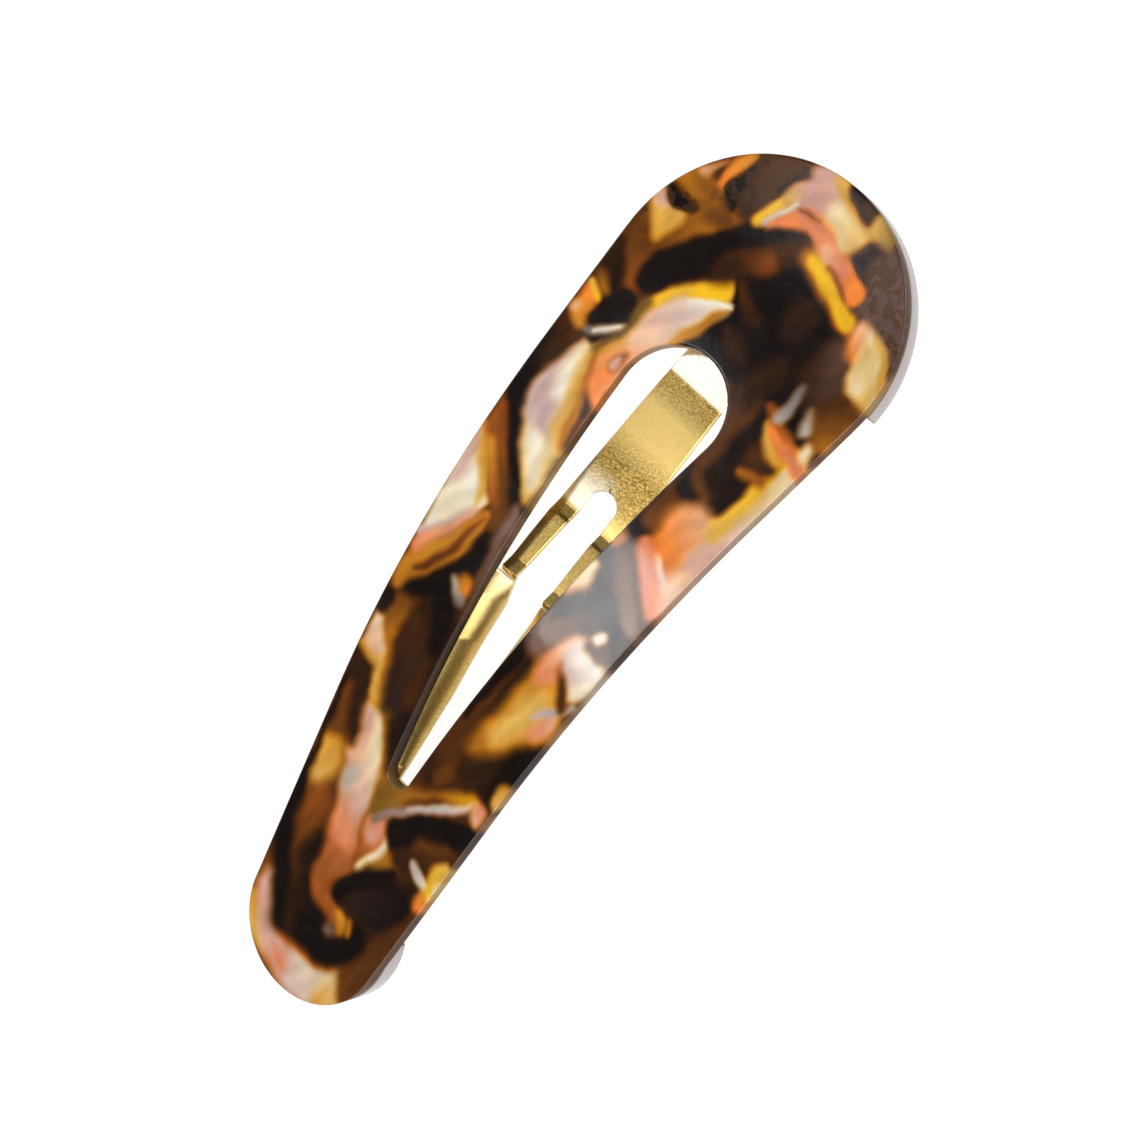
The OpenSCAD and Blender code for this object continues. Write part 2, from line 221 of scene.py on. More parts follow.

# Flakes, drawn one by one from the lowest to the top one: first and last colour, width of the soft
# edge, and the outline as places along and across the sheet by turns, in millimetres
FLAKES = (
    # Tail
    ("brown", "brown", 1.2, (7.2, 2, 10.2, 6, 16.5, 7.2, 30, 9, 30, 6.5, 26.5, 5.8, 20.2, 4.8, 16.5, 3,
     11.5, 2)),
    ("umber", "umber", 1, (10, 4.5, 16.5, 4.1, 20.5, 4.8, 17.5, 3, 14, 2, 10.5, 2.2)),
    ("brown", "chestnut", 0.9, (11, 5.8, 15, 6.5, 17, 5.5, 16, 4.2, 13, 4.5)),
    ("chestnut", "amber", 0.4, (-0.1, -0.2, 0.5, 2, 1.8, 4.8, 3.5, 6, 2.8, 4.5, 1.5, 2.5, 0.9, -0.2)),
    ("gold", "honey", 0.5, (1.8, 4.5, 3.2, 6, 5, 6.7, 5.5, 6, 4, 4.8, 2.2, 3, 1.4, 2)),
    ("chestnut", "brown", 0.4, (5, 6.6, 10.2, 7.2, 9, 6.4, 7.5, 6, 5.6, 6)),
    ("pink", "pink", 0.7, (0.5, -0.2, 1.2, 2.2, 2.2, 3.5, 4, 4.8, 5.6, 6, 7.9, 6.1, 7.2, 5.2, 5.2, 3.9,
     3.6, 3, 3.8, 1.5, 4.1, 0.5, 3.8, -0.5, 2.2, -0.8)),
    ("salmon", "pink", 0.8, (1.4, 1.2, 2, 3, 2.8, 2.8, 2.5, 1, 1.5, -0.1)),
    ("mauve", "cream", 0.9, (0, -0.1, 3.8, -0.1, 3.8, -1.8, 4.4, -2.8, 5.1, -3.5, 4, -4.5, 2.8, -5.6, 1.2,
     -4, 0.4, -2.2)),
    ("honey", "cream", 0.9, (1, -3.1, 2.2, -3.6, 4, -3.5, 5.1, -3.7, 3, -5.5, 1.8, -4.5)),
    ("orange", "orange", 0.45, (3.5, 2.5, 4.1, 2, 4.4, 0.5, 4, -1.2, 4.5, -2.5, 5.1, -3.5, 4.5, -3.3, 3.9,
     -2, 3.7, -0.5, 4, 0.8, 3.6, 1.8)),
    ("black", "black", 0.8, (3.7, 3.3, 5.5, 4.1, 9, 6.2, 10.8, 7.2, 16.5, 7.7, 15, 6.9, 11.5, 6, 9.5, 4.8,
     7.2, 3.2, 5, 2.2, 4.1, 2)),
    ("dark", "black", 1, (4.1, 2, 7.2, 3, 11, 4.2, 14, 3.6, 12.5, 2, 9.5, 2, 8.5, 0.8, 7.2, -0.5, 6.5,
     -2.2, 8, -3.5, 9.8, -4.5, 7.2, -5.1, 5.5, -4, 4.5, -2.5, 4.1, -1.2, 4.4, 0.2)),
    ("dark", "dark", 0.9, (9.8, -1, 11.5, -0.5, 13, -2.2, 15, -4.5, 16.5, -5.5, 15.5, -6.9, 14, -7.2,
     11.5, -6.5, 9, -5.5, 10, -3.5)),
    ("black", "black", 0.9, (4.4, 0.8, 5.5, 1.5, 7.2, 1.2, 7.8, 0, 6.8, -1, 6.5, -2.5, 7.5, -3.3, 9.2, -3,
     9.8, -4, 7.5, -4.8, 5.8, -3.8, 4.8, -2.2)),
    ("coal", "black", 0.9, (11, -2.2, 13, -2.8, 15, -4.5, 14.5, -6.5, 12, -6.2, 10, -5.2, 10.2, -3.5)),
    ("taupe", "umber", 0.5, (6.7, -1.2, 7.6, -1.1, 8.5, -1.2, 8.4, -1.9, 7.4, -2.1)),
    ("chestnut", "amber", 0.4, (8.2, -0.6, 8.8, 0.1, 9.3, -0.5, 9.1, -1.5, 8.5, -2.1, 8, -1.5)),
    ("amber", "honey", 0.4, (7.57, -2.15, 8.38, -2, 9.12, -1.2, 9.35, -1.62, 8.9, -2.3, 8, -2.45)),
    ("amber", "amber", 0.3, (7.88, -2.93, 8.75, -2.75, 9.35, -2.38, 9.28, -2.82, 8.5, -3.12)),
    ("chestnut", "salmon", 0.6, (8.6, 1.1, 9.5, 2, 11, 2.4, 13, 2, 13, 0, 11, 0.1, 10, 0.1, 9, -0.6, 8.6,
     0.2)),
    ("chestnut", "salmon", 0.9, (10, 1.8, 12, 2.2, 15, 2.8, 16.5, 3.2, 17.2, 2, 15, 0.2, 13, -0.3, 11.5,
     -0.1, 10, 0.2)),
    ("salmon", "cream", 0.7, (14, 2.5, 17, 3.5, 20.2, 4.5, 23.5, 5.5, 25, 5.9, 26, 5.8, 26.2, 4.5, 26.1,
     3.5, 24, 2.5, 21.5, 1.2, 19, 0.8, 16.5, 0.4, 14.5, 0.2)),
    ("mist", "mist", 0.9, (18.5, 4, 20.2, 4.4, 20.8, 3.5, 19.5, 3, 18.5, 3.2)),
    ("pink", "cream", 0.9, (17.5, 2.5, 20.5, 3, 24, 3.8, 25.9, 3.7, 23, 2.2, 20.5, 1.1, 18.5, 0.8, 17,
     1.2)),
    ("peach", "pink", 0.8, (21, 4.8, 24, 5.6, 25.6, 5.8, 25.8, 4.8, 23, 4.2, 21.5, 3.8)),
    ("brown", "honey", 0.5, (15.2, 0.2, 18, 0.8, 20.5, 1, 23, 2.1, 26.1, 3.5, 26.6, 3.9, 26.3, 3.2, 24, 2,
     22, 0.9, 20, 0.4, 17.5, 0.2, 15.5, -0.2)),
    ("chestnut", "salmon", 0.6, (14, -0.2, 18, 0.4, 19, 0, 19.1, -1.2, 17.5, -1.8, 16.2, -1.6, 14.5,
     -0.8)),
    ("pink", "salmon", 0.7, (15.8, -0.3, 18, 0.2, 19, -0.3, 18.5, -1.2, 17, -1.2)),
    ("olive", "amber", 0.8, (18.4, 0.6, 20.8, 0.8, 22.2, -0.5, 22.5, -2.2, 24.2, -3.8, 21.5, -1.5, 19.8,
     -1.1, 18.8, -0.3)),
    ("cream", "milk", 0.3, (13.12, -0.62, 14.5, -1, 16, -1.7, 17.7, -1.95, 17.43, -2.35, 16.25, -2.43,
     14.75, -1.8, 13.62, -1.18)),
    ("olive", "amber", 0.6, (13.8, -1.3, 15.2, -2.3, 17.1, -2.5, 16.3, -3.8, 15.2, -3.6, 14.2, -2.6)),
    ("black", "black", 0.45, (9.6, -0.4, 10.5, 0.2, 11.5, 0.1, 12.6, -0.6, 14, -1.8, 15, -3, 15.8, -3.9,
     15.2, -4.2, 14, -3.6, 12.8, -2.3, 11.5, -1.3, 10.2, -1.1)),
    ("black", "black", 0.5, (16.9, -2.6, 18.2, -1.5, 19.1, -1.3, 20.2, -2.2, 21.5, -3.8, 22.5, -5.2, 23.5,
     -7.5, 23.8, -8.6, 21.5, -8.3, 20.5, -6.8, 19.5, -5.1, 18, -3.8)),
    ("brown", "umber", 0.6, (18.8, -4.1, 19.8, -5, 20.8, -7, 20.6, -8, 19.6, -7.6, 18.8, -5.8, 18, -4.8)),
    ("dark", "umber", 0.7, (16, -3.6, 17.1, -2.8, 18.1, -4, 18.8, -5.5, 19.8, -7.8, 19.1, -7.6, 17.5,
     -6.1, 16.5, -4.8)),
    ("mist", "milk", 0.3, (17.5, -4.7, 17.75, -5.25, 17.05, -6.5, 16.2, -7.93, 15.65, -8.05, 16.25, -6.5,
     16.88, -5.38)),
    ("orange", "honey", 0.5, (14.2, -7.2, 15, -6.9, 16.6, -7, 15.6, -7.8, 14.4, -8)),
    ("yellow", "gold", 0.5, (16.2, -7.1, 19, -6.9, 19.6, -8.1, 17.8, -8.2, 16, -8.1)),
    ("cream", "cream", 0.4, (15.2, -8.1, 16.5, -7.8, 17.8, -8, 17, -8.4)),
    ("brown", "umber", 0.7, (2.6, -5.6, 4.8, -4, 6.5, -5.1, 9.5, -5.6, 12, -6.8, 14.3, -7.9, 11, -7.6,
     6.5, -7.1, 4, -6.6)),
    ("taupe", "mauve", 0.3, (17.9, 0.2, 19, -0.1, 20.2, -1.2, 22, -3.2, 24, -5.5, 26.1, -7.5, 25.8, -7.7,
     24, -6.2, 22, -3.9, 20.2, -1.9, 18.8, -0.7, 17.8, -0.2)),
    ("mist", "milk", 0.2, (20.6, -1.8, 22, -3.3, 24, -5.6, 25.6, -7.2, 24, -5.8, 22, -3.6)),
    ("peach", "salmon", 0.5, (23.9, -7.8, 25.5, -7, 26.3, -7.5, 26.1, -8.3, 24.2, -8.4)),
    ("amber", "yellow", 0.6, (24, -3.5, 25.1, -4.2, 26.1, -5.5, 26.6, -6.8, 26.1, -7.3, 25, -6.1, 24,
     -4.6)),
    ("dark", "umber", 0.9, (24, -1.8, 26.8, -1.7, 31.5, -2.3, 31.5, -8.5, 28.5, -8.6, 27, -7.1, 25.5,
     -5.1, 24.2, -3.6)),
    ("brown", "brown", 0.6, (24.5, -3, 26.8, -3.2, 31.5, -3.8, 31.5, -4.5, 27, -4.1, 25, -3.8)),
    ("olive", "brown", 0.8, (28, -4.5, 31.5, -4.5, 31.5, -6.5, 28.8, -6.6)),
    ("coal", "coal", 0.6, (26.2, -7.8, 27.2, -6.8, 28.3, -8.1, 27.8, -8.6)),
    ("orange", "honey", 0.4, (27.7, -8.3, 28.5, -8, 29.1, -8.8, 28.2, -9.1)),
    ("dark", "black", 0.8, (22.1, 1.1, 24, 2.2, 26.5, 3.5, 31.5, 4.5, 31.5, 1.2, 26.5, 1.3, 23, 0.8)),
    ("gold", "honey", 1, (16.8, 6.7, 19, 7.5, 21.5, 7.8, 21.8, 6.8, 21, 5.7, 19, 5.3, 17.5, 5.7)),
    ("brown", "chestnut", 0.9, (21.5, 8, 25.2, 8.4, 29, 8.8, 29.3, 6.8, 26, 6.5, 23, 5.7, 21.5, 6.5)),
    ("dark", "coal", 0.7, (25.5, 7.2, 28.8, 8.6, 29.8, 8.8, 29.4, 6.8, 27.5, 6.2, 25.5, 6.2, 23, 5.3,
     21.5, 4.9, 22.5, 6)),
    ("honey", "gold", 0.5, (25.9, 5.8, 27.8, 6.1, 30, 6.9, 31.8, 7.5, 31.8, 6.2, 29, 5.5, 27, 5, 26.1,
     4.6)),
    ("olive", "coal", 0.9, (26.2, 4.5, 27.2, 5.1, 31.5, 6, 31.5, 4.4, 27.8, 3.5, 26.2, 3.5)),
    ("black", "black", 0.5, (13, 7.5, 18, 7.8, 21.5, 8.1, 31.5, 9.2, 31.5, 8.8, 24, 8.2, 19, 7.6, 15, 7)),
    # Left leg
    ("dark", "dark", 0.9, (28.5, 8.8, 59.8, 11.8, 59.8, 0.7, 28.5, 0.2)),
    ("dark", "dark", 0.5, (26.6, 8.8, 29.1, 8.9, 29.3, 7, 26.6, 6.2)),
    ("honey", "gold", 0.5, (29.1, 8.8, 29.8, 8.9, 29.6, 6.8, 31, 6.7, 29.1, 5.9, 26.6, 4.9, 26.6, 5.8, 29,
     6.5)),
    ("peach", "cream", 0.4, (29.6, 8.8, 31, 9, 32.2, 9.1, 32.9, 8.4, 31.6, 7.5, 30.7, 6.7, 29.7, 6.9)),
    ("amber", "brown", 0.6, (31, 6.7, 31.6, 7.5, 32.9, 8.3, 34.6, 8.8, 35.5, 7.3, 36.2, 6.5, 34.4, 6.8,
     32.5, 6.9)),
    ("coal", "black", 0.4, (32.3, 9.1, 34.8, 9.5, 34.6, 8.7, 33, 8.4)),
    ("honey", "amber", 0.6, (26.6, 4.9, 29.1, 5.9, 31, 6.6, 32.6, 7, 31.2, 6.5, 29.4, 5.6, 26.6, 4.5)),
    ("coal", "umber", 1, (26.6, 4.5, 30.3, 5.7, 33, 6.3, 34.8, 6.1, 33.5, 5, 30.3, 3.8, 26.6, 2.7)),
    ("umber", "dark", 0.8, (27.5, 2.5, 30.7, 3.4, 33.5, 4.5, 35.7, 6.1, 37.1, 6, 34.8, 4.5, 31.6, 3.1,
     28.9, 2.3)),
    ("black", "black", 0.7, (35.5, 8.6, 36.4, 8.4, 38, 7, 39.8, 5.9, 42.5, 5.8, 44.4, 5.7, 42.5, 4, 40.7,
     3.7, 38, 3.4, 34.8, 2.9, 32.5, 2.7, 35.5, 4.7, 37.1, 6, 35.8, 7)),
    ("amber", "honey", 0.5, (34.8, 9.1, 36, 9.6, 38, 9.8, 38.9, 9.4, 40.3, 8.2, 42.1, 7.2, 43.9, 6.5,
     45.3, 6.1, 44.4, 5.6, 42.5, 5.8, 40.7, 6, 38.7, 7, 37.1, 8.2)),
    ("umber", "chestnut", 0.4, (37.1, 8.8, 38.7, 7.9, 40.7, 7, 43.5, 6.4, 44.9, 6, 43, 6.1, 40.7, 6.5,
     38.7, 7.2)),
    ("salmon", "peach", 0.45, (38.2, 9.7, 39.8, 10, 40.7, 9.5, 42.5, 8.5, 44.4, 7.6, 45.3, 7.2, 44.8, 6.8,
     43, 7.3, 41.2, 8.1, 39.4, 9)),
    ("mauve", "mist", 0.35, (39.8, 10, 40.7, 10.1, 42.1, 9.1, 43.7, 8.1, 45, 7.5, 43.9, 7.7, 42.3, 8.5,
     40.7, 9.4)),
    ("milk", "cream", 0.55, (40.7, 10, 43.9, 10.4, 48, 10.8, 50.8, 11, 49.6, 10, 47.8, 8.7, 46.4, 7.6,
     45.3, 7.3, 43.9, 8.1, 42.3, 9)),
    ("cream", "milk", 0.7, (42.1, 9.5, 45.3, 10, 47.3, 10, 46.9, 8.9, 45.3, 7.9, 43.9, 8.4)),
    ("mauve", "pink", 0.7, (44.8, 10.4, 48.5, 10.8, 49.9, 10.8, 48.5, 10.1, 46.2, 10.1)),
    ("honey", "gold", 0.5, (50.8, 11, 49.8, 10, 48, 8.7, 46.6, 7.5, 46, 6.8, 45, 7, 45.3, 7.6, 46.2, 7.8,
     47.5, 9.1, 49.1, 10.4)),
    ("milk", "gold", 0.25, (44.89, 7.23, 46.18, 7.05, 46.8, 6.45, 46.18, 6.36, 45.05, 6.89)),
    ("chestnut", "brown", 0.6, (50.7, 11, 54, 11.3, 52.5, 10, 50.7, 8.6, 48.9, 7, 47.3, 5.4, 45.3, 4.5,
     43.9, 5.2, 45.7, 5.9, 47.5, 7.7, 49.4, 9.7)),
    ("honey", "chestnut", 0.5, (49.1, 9.5, 49.9, 10, 48, 7.9, 46.2, 6.1, 45.5, 5.9, 47.3, 7.9)),
    ("black", "black", 0.5, (54, 11.3, 59.8, 11.8, 59.8, 10.6, 54.8, 10, 52.5, 8.4, 50.3, 6.5, 48.5, 4.7,
     47.5, 3.8, 46, 4, 47.3, 5.4, 49.4, 7.2, 51.6, 9.3)),
    ("gold", "cream", 0.6, (47.5, 3.9, 48.9, 5.2, 50.7, 6.8, 52.5, 8.3, 54.4, 9.8, 57.5, 10.6, 57.5, 5.9,
     54.8, 5.6, 53.5, 4.5, 50.7, 4.2, 48.5, 4)),
    ("mauve", "pink", 0.9, (52.8, 8.2, 54.8, 9.7, 57.5, 10.5, 57.5, 7.3, 54.8, 7, 53, 6.8)),
    ("cream", "milk", 0.9, (48.5, 4.3, 50.3, 6.1, 52.1, 7.6, 53.5, 7.5, 52.1, 5.9, 49.8, 4.5)),
    ("honey", "gold", 0.6, (52.5, 4.5, 53.9, 5.5, 57.5, 6.5, 57.5, 5.9, 54.8, 5.4, 53.2, 4.4)),
    ("dark", "umber", 0.5, (53.4, 4.6, 54.8, 5.8, 57.5, 6, 57.5, 4.5, 54.4, 4.4)),
    ("slate", "mist", 0.4, (37.5, 3.1, 38, 4.1, 38.7, 4.9, 39.3, 5.2, 39.2, 4.5, 38.5, 3.7, 38, 3.1)),
    ("orange", "amber", 0.5, (38.6, 3.4, 38.9, 4.2, 39.6, 4.6, 40.2, 4, 39.6, 3.4)),
    ("umber", "taupe", 0.5, (36.6, 2.7, 39.4, 3.1, 42.5, 3.7, 45.3, 4.4, 47.1, 4.5, 46.9, 3.9, 43.9, 3.5,
     40.7, 3, 37.1, 2.5)),
    # Right leg
    ("umber", "dark", 0.9, (28.5, -1.1, 59.8, -3.2, 59.8, -13.2, 28.5, -10)),
    ("umber", "brown", 0.6, (26.6, -1.8, 30.7, -2.3, 34.8, -3, 37.5, -3.6, 38.7, -4.3, 37.8, -5.4, 34.8,
     -4.9, 31.4, -4.1, 26.6, -3.5)),
    ("black", "black", 0.4, (30.7, -2.2, 37.1, -2.7, 40.7, -3, 44.4, -3.3, 43.9, -3.7, 40.7, -3.6, 37.5,
     -3.8, 34.8, -3.1, 31.6, -2.5)),
    ("dark", "black", 0.6, (28.9, -4.1, 31.4, -4.1, 34.4, -4.9, 37.1, -5.4, 38, -4.7, 38.7, -4.4, 37.8,
     -4.1, 35.7, -4.1, 32.5, -3.8, 29.4, -3.4)),
    ("dark", "dark", 0.9, (26.6, -4.3, 28.7, -4.3, 29.4, -6, 30.7, -7.3, 32.6, -9.1, 30.3, -9.5, 26.6,
     -9.1)),
    ("black", "black", 0.9, (26.6, -7.5, 29.8, -7.8, 31.6, -7.1, 33, -7.5, 34.4, -9.7, 30.3, -9.5, 26.6,
     -9.3)),
    ("amber", "honey", 1.1, (28.9, -4.1, 30.7, -4.3, 33.9, -5.1, 36.2, -5.3, 38.5, -5.5, 39.4, -6.1, 38.7,
     -7.8, 37.1, -8.9, 35.5, -9.5, 34.1, -9, 33, -7.8, 31.2, -6.6, 29.8, -5.3)),
    ("gold", "gold", 1.1, (30.7, -5.2, 33.7, -5.7, 35.7, -6.1, 37.1, -7.5, 36, -8.2, 34.4, -7.8, 32.5,
     -6.9)),
    ("salmon", "peach", 0.6, (33.2, -7.5, 34.6, -8.2, 36.7, -8.8, 35.5, -9.5, 34.2, -9.2)),
    ("mauve", "mist", 0.25, (34.43, -7.05, 35.32, -7.39, 38.05, -9.77, 37.77, -9.95, 36.18, -8.8)),
    ("gold", "honey", 0.5, (26.6, -8.3, 28.2, -8.4, 29.2, -9.1, 26.6, -9.4)),
    ("salmon", "peach", 0.7, (37.5, -5.5, 40.3, -5.3, 42.1, -6.1, 42.6, -6.9, 40.7, -7.5, 38.9, -7.3,
     37.8, -6.6)),
    ("chestnut", "chestnut", 0.5, (38.6, -7.1, 40, -6.9, 40.1, -7.5, 39.1, -7.9)),
    ("mauve", "milk", 0.7, (39.5, -7.5, 40.7, -6.8, 42.5, -6.8, 42.6, -8.2, 41.9, -8.9, 42.1, -10.1, 40.3,
     -10.3, 38, -9.1, 38.7, -8.5)),
    ("umber", "umber", 0.5, (36.6, -9, 38.2, -7.8, 39.4, -7.3, 38.7, -8.5, 37.5, -9.2)),
    ("cream", "milk", 0.5, (38, -9, 39.8, -9.1, 40.8, -10.1, 38.9, -10.1)),
    ("brown", "umber", 0.7, (40.7, -4.6, 42.5, -4.1, 45.3, -4.6, 46.2, -5.7, 45.3, -6, 42.5, -5.5, 40.7,
     -5.3)),
    ("taupe", "umber", 0.8, (38.9, -3.7, 40.7, -3.2, 43.9, -3.4, 45.3, -4.3, 42.5, -4.4, 40.7, -4.8, 39.4,
     -4.8)),
    ("peach", "cream", 0.5, (44.2, -3.3, 46.2, -3.4, 48.3, -3.6, 48, -4.6, 47.1, -5.5, 46, -5.2, 44.8,
     -4.1)),
    ("coal", "black", 0.6, (42.1, -3.7, 44.4, -3.6, 46, -5.3, 48.5, -4.3, 49.9, -4.3, 48, -6, 46.2, -8,
     44.8, -10.5, 42.5, -10.5, 43.9, -9.1, 44.8, -7.5, 45.3, -6, 43.9, -5.3)),
    ("milk", "milk", 0.35, (42.8, -7.8, 43.9, -8, 44.4, -8.4, 43.7, -8.8, 42.9, -8.3)),
    ("umber", "umber", 0.5, (42.1, -7.5, 42.9, -7.6, 42.8, -8.7, 43.7, -9.1, 43, -10.1, 42.3, -9.6)),
    ("umber", "taupe", 0.6, (49.8, -4.6, 50.8, -5.2, 49.9, -6.2, 48, -8, 46.7, -10, 45.3, -10.6, 46, -9.1,
     47.3, -7.3, 48.5, -6)),
    ("black", "black", 0.4, (48.2, -3.8, 49.9, -4, 49.6, -4.6, 48.5, -4.5)),
    ("amber", "amber", 0.4, (49.9, -4, 51.8, -4.1, 51.6, -4.8, 50.3, -4.6)),
    ("black", "black", 0.5, (51.8, -4.1, 59.8, -4.8, 54.8, -5.5, 53.5, -6.9, 52.1, -5.5, 51.4, -4.9)),
    ("chestnut", "brown", 0.5, (53, -6.2, 54.4, -5.2, 59.8, -4.9, 59.8, -6, 56.6, -6.6, 54.8, -6.6, 53.5,
     -6.9)),
    ("salmon", "salmon", 0.5, (51.6, -5.8, 52.6, -6, 52.4, -7.1, 51.2, -8.7, 50.3, -10.6, 48.5, -11, 47.3,
     -10.8, 48.5, -9.1, 50, -7.3)),
    ("milk", "mauve", 0.3, (51.91, -7.5, 51.45, -8.68, 49.86, -10.68, 49.48, -10.64, 50.73, -9.14)),
    ("orange", "salmon", 0.6, (52.6, -7.1, 54.4, -6.7, 57.5, -6.5, 57.5, -10, 54.4, -9.8, 52.1, -9.6,
     51.1, -10.1, 51.9, -8.5)),
    ("peach", "cream", 0.8, (48, -11, 50.7, -10, 53, -9.6, 59.8, -9.8, 59.8, -12.7, 50.7, -11.8)),
    # Head
    ("black", "black", 0.6, (53, 11.2, 59.8, 11.9, 57.8, 10.8, 55.5, 10, 54, 9.4, 53, 9.2)),
    ("dark", "umber", 0.8, (57.8, 10.8, 59.8, 11.9, 62.2, 12.1, 61.5, 11, 61, 9, 58.5, 9.2, 56.5, 10.2,
     55.5, 9.9)),
    ("brown", "amber", 0.8, (68.8, 12.2, 71.5, 12.9, 76.5, 12.2, 77, 9, 76, 5.8, 74.8, 5.8, 72.5, 7.8, 70,
     9.2, 68, 9.5, 65.8, 9, 66.5, 10.2)),
    ("black", "dark", 0.6, (64.4, 10.5, 65, 12, 67, 12.5, 69, 12.6, 68, 11.5, 66.5, 10.2, 65.8, 9.5, 64.8,
     9.8)),
    ("chestnut", "brown", 0.8, (65.8, 9, 68, 10.8, 70, 12, 70, 9.8, 68, 9.5, 66.5, 8.8)),
    ("dark", "black", 0.5, (53, -5.6, 63.5, -5.9, 66.8, -6, 66.2, -7.2, 65, -9, 64, -10.5, 61.5, -10.6,
     57.2, -10.2, 56.5, -7.2, 53, -6.4)),
    ("brown", "umber", 0.6, (53, -4.6, 57, -4.9, 62.5, -5.1, 65.8, -4.5, 66.8, -5.5, 66, -6.1, 63.5, -6,
     57, -5.8, 53, -5.9)),
    ("black", "black", 0.5, (65.5, 2.9, 68, 2.4, 70, 1.6, 71.5, 2.8, 72.5, 2.8, 74, 1.5, 75.5, 0.5, 77.5,
     -0.2, 76.6, -1, 76, -3, 75.2, -5.2, 74.5, -7.5, 73.5, -9.2, 71.5, -10.5, 69, -9.8, 67.5, -10, 66,
     -11.2, 64.8, -11.5, 65.8, -9, 66.5, -7.2, 67, -6, 66.5, -4.8, 65.5, -4.2, 66.2, -3)),
    ("dark", "dark", 0.9, (65, -3.5, 68, -4, 70.2, -5.1, 69, -6, 66.5, -5.4, 64.8, -5.1)),
    ("coal", "dark", 0.9, (71.2, -3.4, 73.2, -2.8, 74.4, -2.6, 74.6, -4, 73.5, -5, 71.5, -4.5)),
    ("dark", "umber", 0.5, (70.2, -0.6, 71, 0.8, 72.2, 2.3, 72.5, 2, 71.6, 0.4, 70.6, -1.6)),
    ("dark", "dark", 0.6, (67.3, -0.8, 68.8, 0.6, 69.2, -0.2, 68.4, -2.2, 67.2, -2.6)),
    ("dark", "smoke", 0.9, (69.8, -6.8, 73, -7, 74.4, -7.5, 73.5, -9.2, 72.5, -10, 71, -10.2, 69, -9.8,
     68.2, -8.5)),
    ("mauve", "mauve", 0.6, (53, 9, 54, 9.4, 55.5, 9.9, 57, 9.8, 58.5, 9.2, 60.5, 9, 60.9, 8.6, 60, 8,
     57.8, 7.2, 55.5, 6.5, 53, 5.6)),
    ("milk", "cream", 0.8, (56.5, 8.6, 59, 8.9, 60.9, 8.7, 60, 8.2, 57.8, 7.5, 55.5, 7)),
    ("gold", "gold", 0.6, (53, 6, 56.5, 7.1, 59, 7.8, 60.9, 8.4, 61.5, 8.1, 60, 7.4, 57, 6.2, 53, 5)),
    ("amber", "honey", 0.5, (53, 5, 56.5, 6.2, 59, 7.2, 60.5, 7.8, 60.8, 7.5, 59, 6.5, 56.8, 5.5, 53,
     4.4)),
    ("black", "umber", 0.5, (55.5, 4.6, 56.5, 5.2, 58.5, 6.5, 60.2, 7.5, 60.9, 7.4, 59, 6.2, 57.8, 5.4,
     57, 4.6)),
    ("umber", "chestnut", 0.4, (53, 4.5, 55.5, 4.7, 57.2, 4.5, 57, 4.2, 53, 3.9)),
    ("orange", "peach", 0.5, (57.8, 6, 59, 6.8, 60.5, 7.3, 62.2, 6.5, 64, 5.4, 65.2, 4, 65, 3.4, 64, 4.1,
     62.2, 4.4, 60.5, 4.5, 58, 4.8, 57, 4.5)),
    ("orange", "orange", 0.4, (58.5, 6, 59.8, 6.3, 60.5, 5.2, 59, 5.3)),
    ("chestnut", "chestnut", 0.35, (59.9, 6, 61.2, 6.1, 62.2, 5.4, 61.5, 5.2, 60.2, 5.4)),
    ("pink", "pink", 0.25, (60.12, 5.95, 61.25, 5.85, 61.38, 5.5, 60.38, 5.6)),
    ("peach", "peach", 0.6, (62.2, 6.2, 64, 5.6, 65.2, 4.5, 65, 3.8, 63.5, 4.8)),
    ("honey", "gold", 0.5, (60.2, 7.5, 61.5, 7.3, 63, 6.9, 64.5, 6.8, 66, 7.1, 67.5, 6.8, 67, 5.8, 64.5,
     5.6, 62.5, 6.2, 61.2, 6.9)),
    ("peach", "milk", 0.6, (62.5, 6.4, 64.5, 6.4, 65.8, 6.3, 67.5, 5.8, 68.5, 4.8, 69.5, 3.2, 70.3, 1.3,
     68.8, 2.1, 67, 2.8, 65.5, 3.2, 64.5, 4.2, 63.2, 5.4)),
    ("pink", "milk", 0.9, (65.2, 6, 67.2, 5.9, 68.2, 5.2, 69.3, 3.5, 70, 1.9, 68.2, 2.9, 66.5, 3.9, 65.2,
     5)),
    ("honey", "amber", 0.4, (65, 3.5, 67, 2.8, 68.8, 2.2, 70.1, 1.4, 68.8, 1.7, 66.8, 2.3, 65.2, 2.9)),
    ("yellow", "gold", 0.4, (65.4, 6.9, 67.5, 6.8, 69, 5.5, 70.5, 4, 72, 3, 71.2, 2.4, 70.6, 1.9, 70, 3,
     69, 4.8, 68, 5.9, 66.5, 6.5)),
    ("yellow", "yellow", 0.5, (69, 5, 70.2, 4.1, 71.8, 3, 70.6, 2.1, 70, 2.9, 69.3, 4)),
    ("milk", "milk", 0.15, (68.3, 4.8, 68.75, 4.5, 69.55, 3.25, 70.45, 1.3, 70.08, 1.5, 69.25, 3.2)),
    ("black", "black", 0.4, (61, 9.5, 61.5, 10.2, 62.8, 10.5, 64.5, 10.2, 65.8, 9.2, 65.9, 8.2, 65, 7.2,
     64, 7.1, 62.8, 7.4, 61.5, 8.1, 60.8, 8.6)),
    ("slate", "mist", 0.25, (61.08, 10, 61.55, 9.55, 62.38, 8.45, 63.95, 7.25, 63.3, 7.3, 62.25, 7.92,
     61.5, 8.88, 61, 9.45)),
    ("milk", "milk", 0.15, (61.5, 9.25, 62.38, 8.25, 63.75, 7.35, 62.62, 7.92, 61.7, 8.8)),
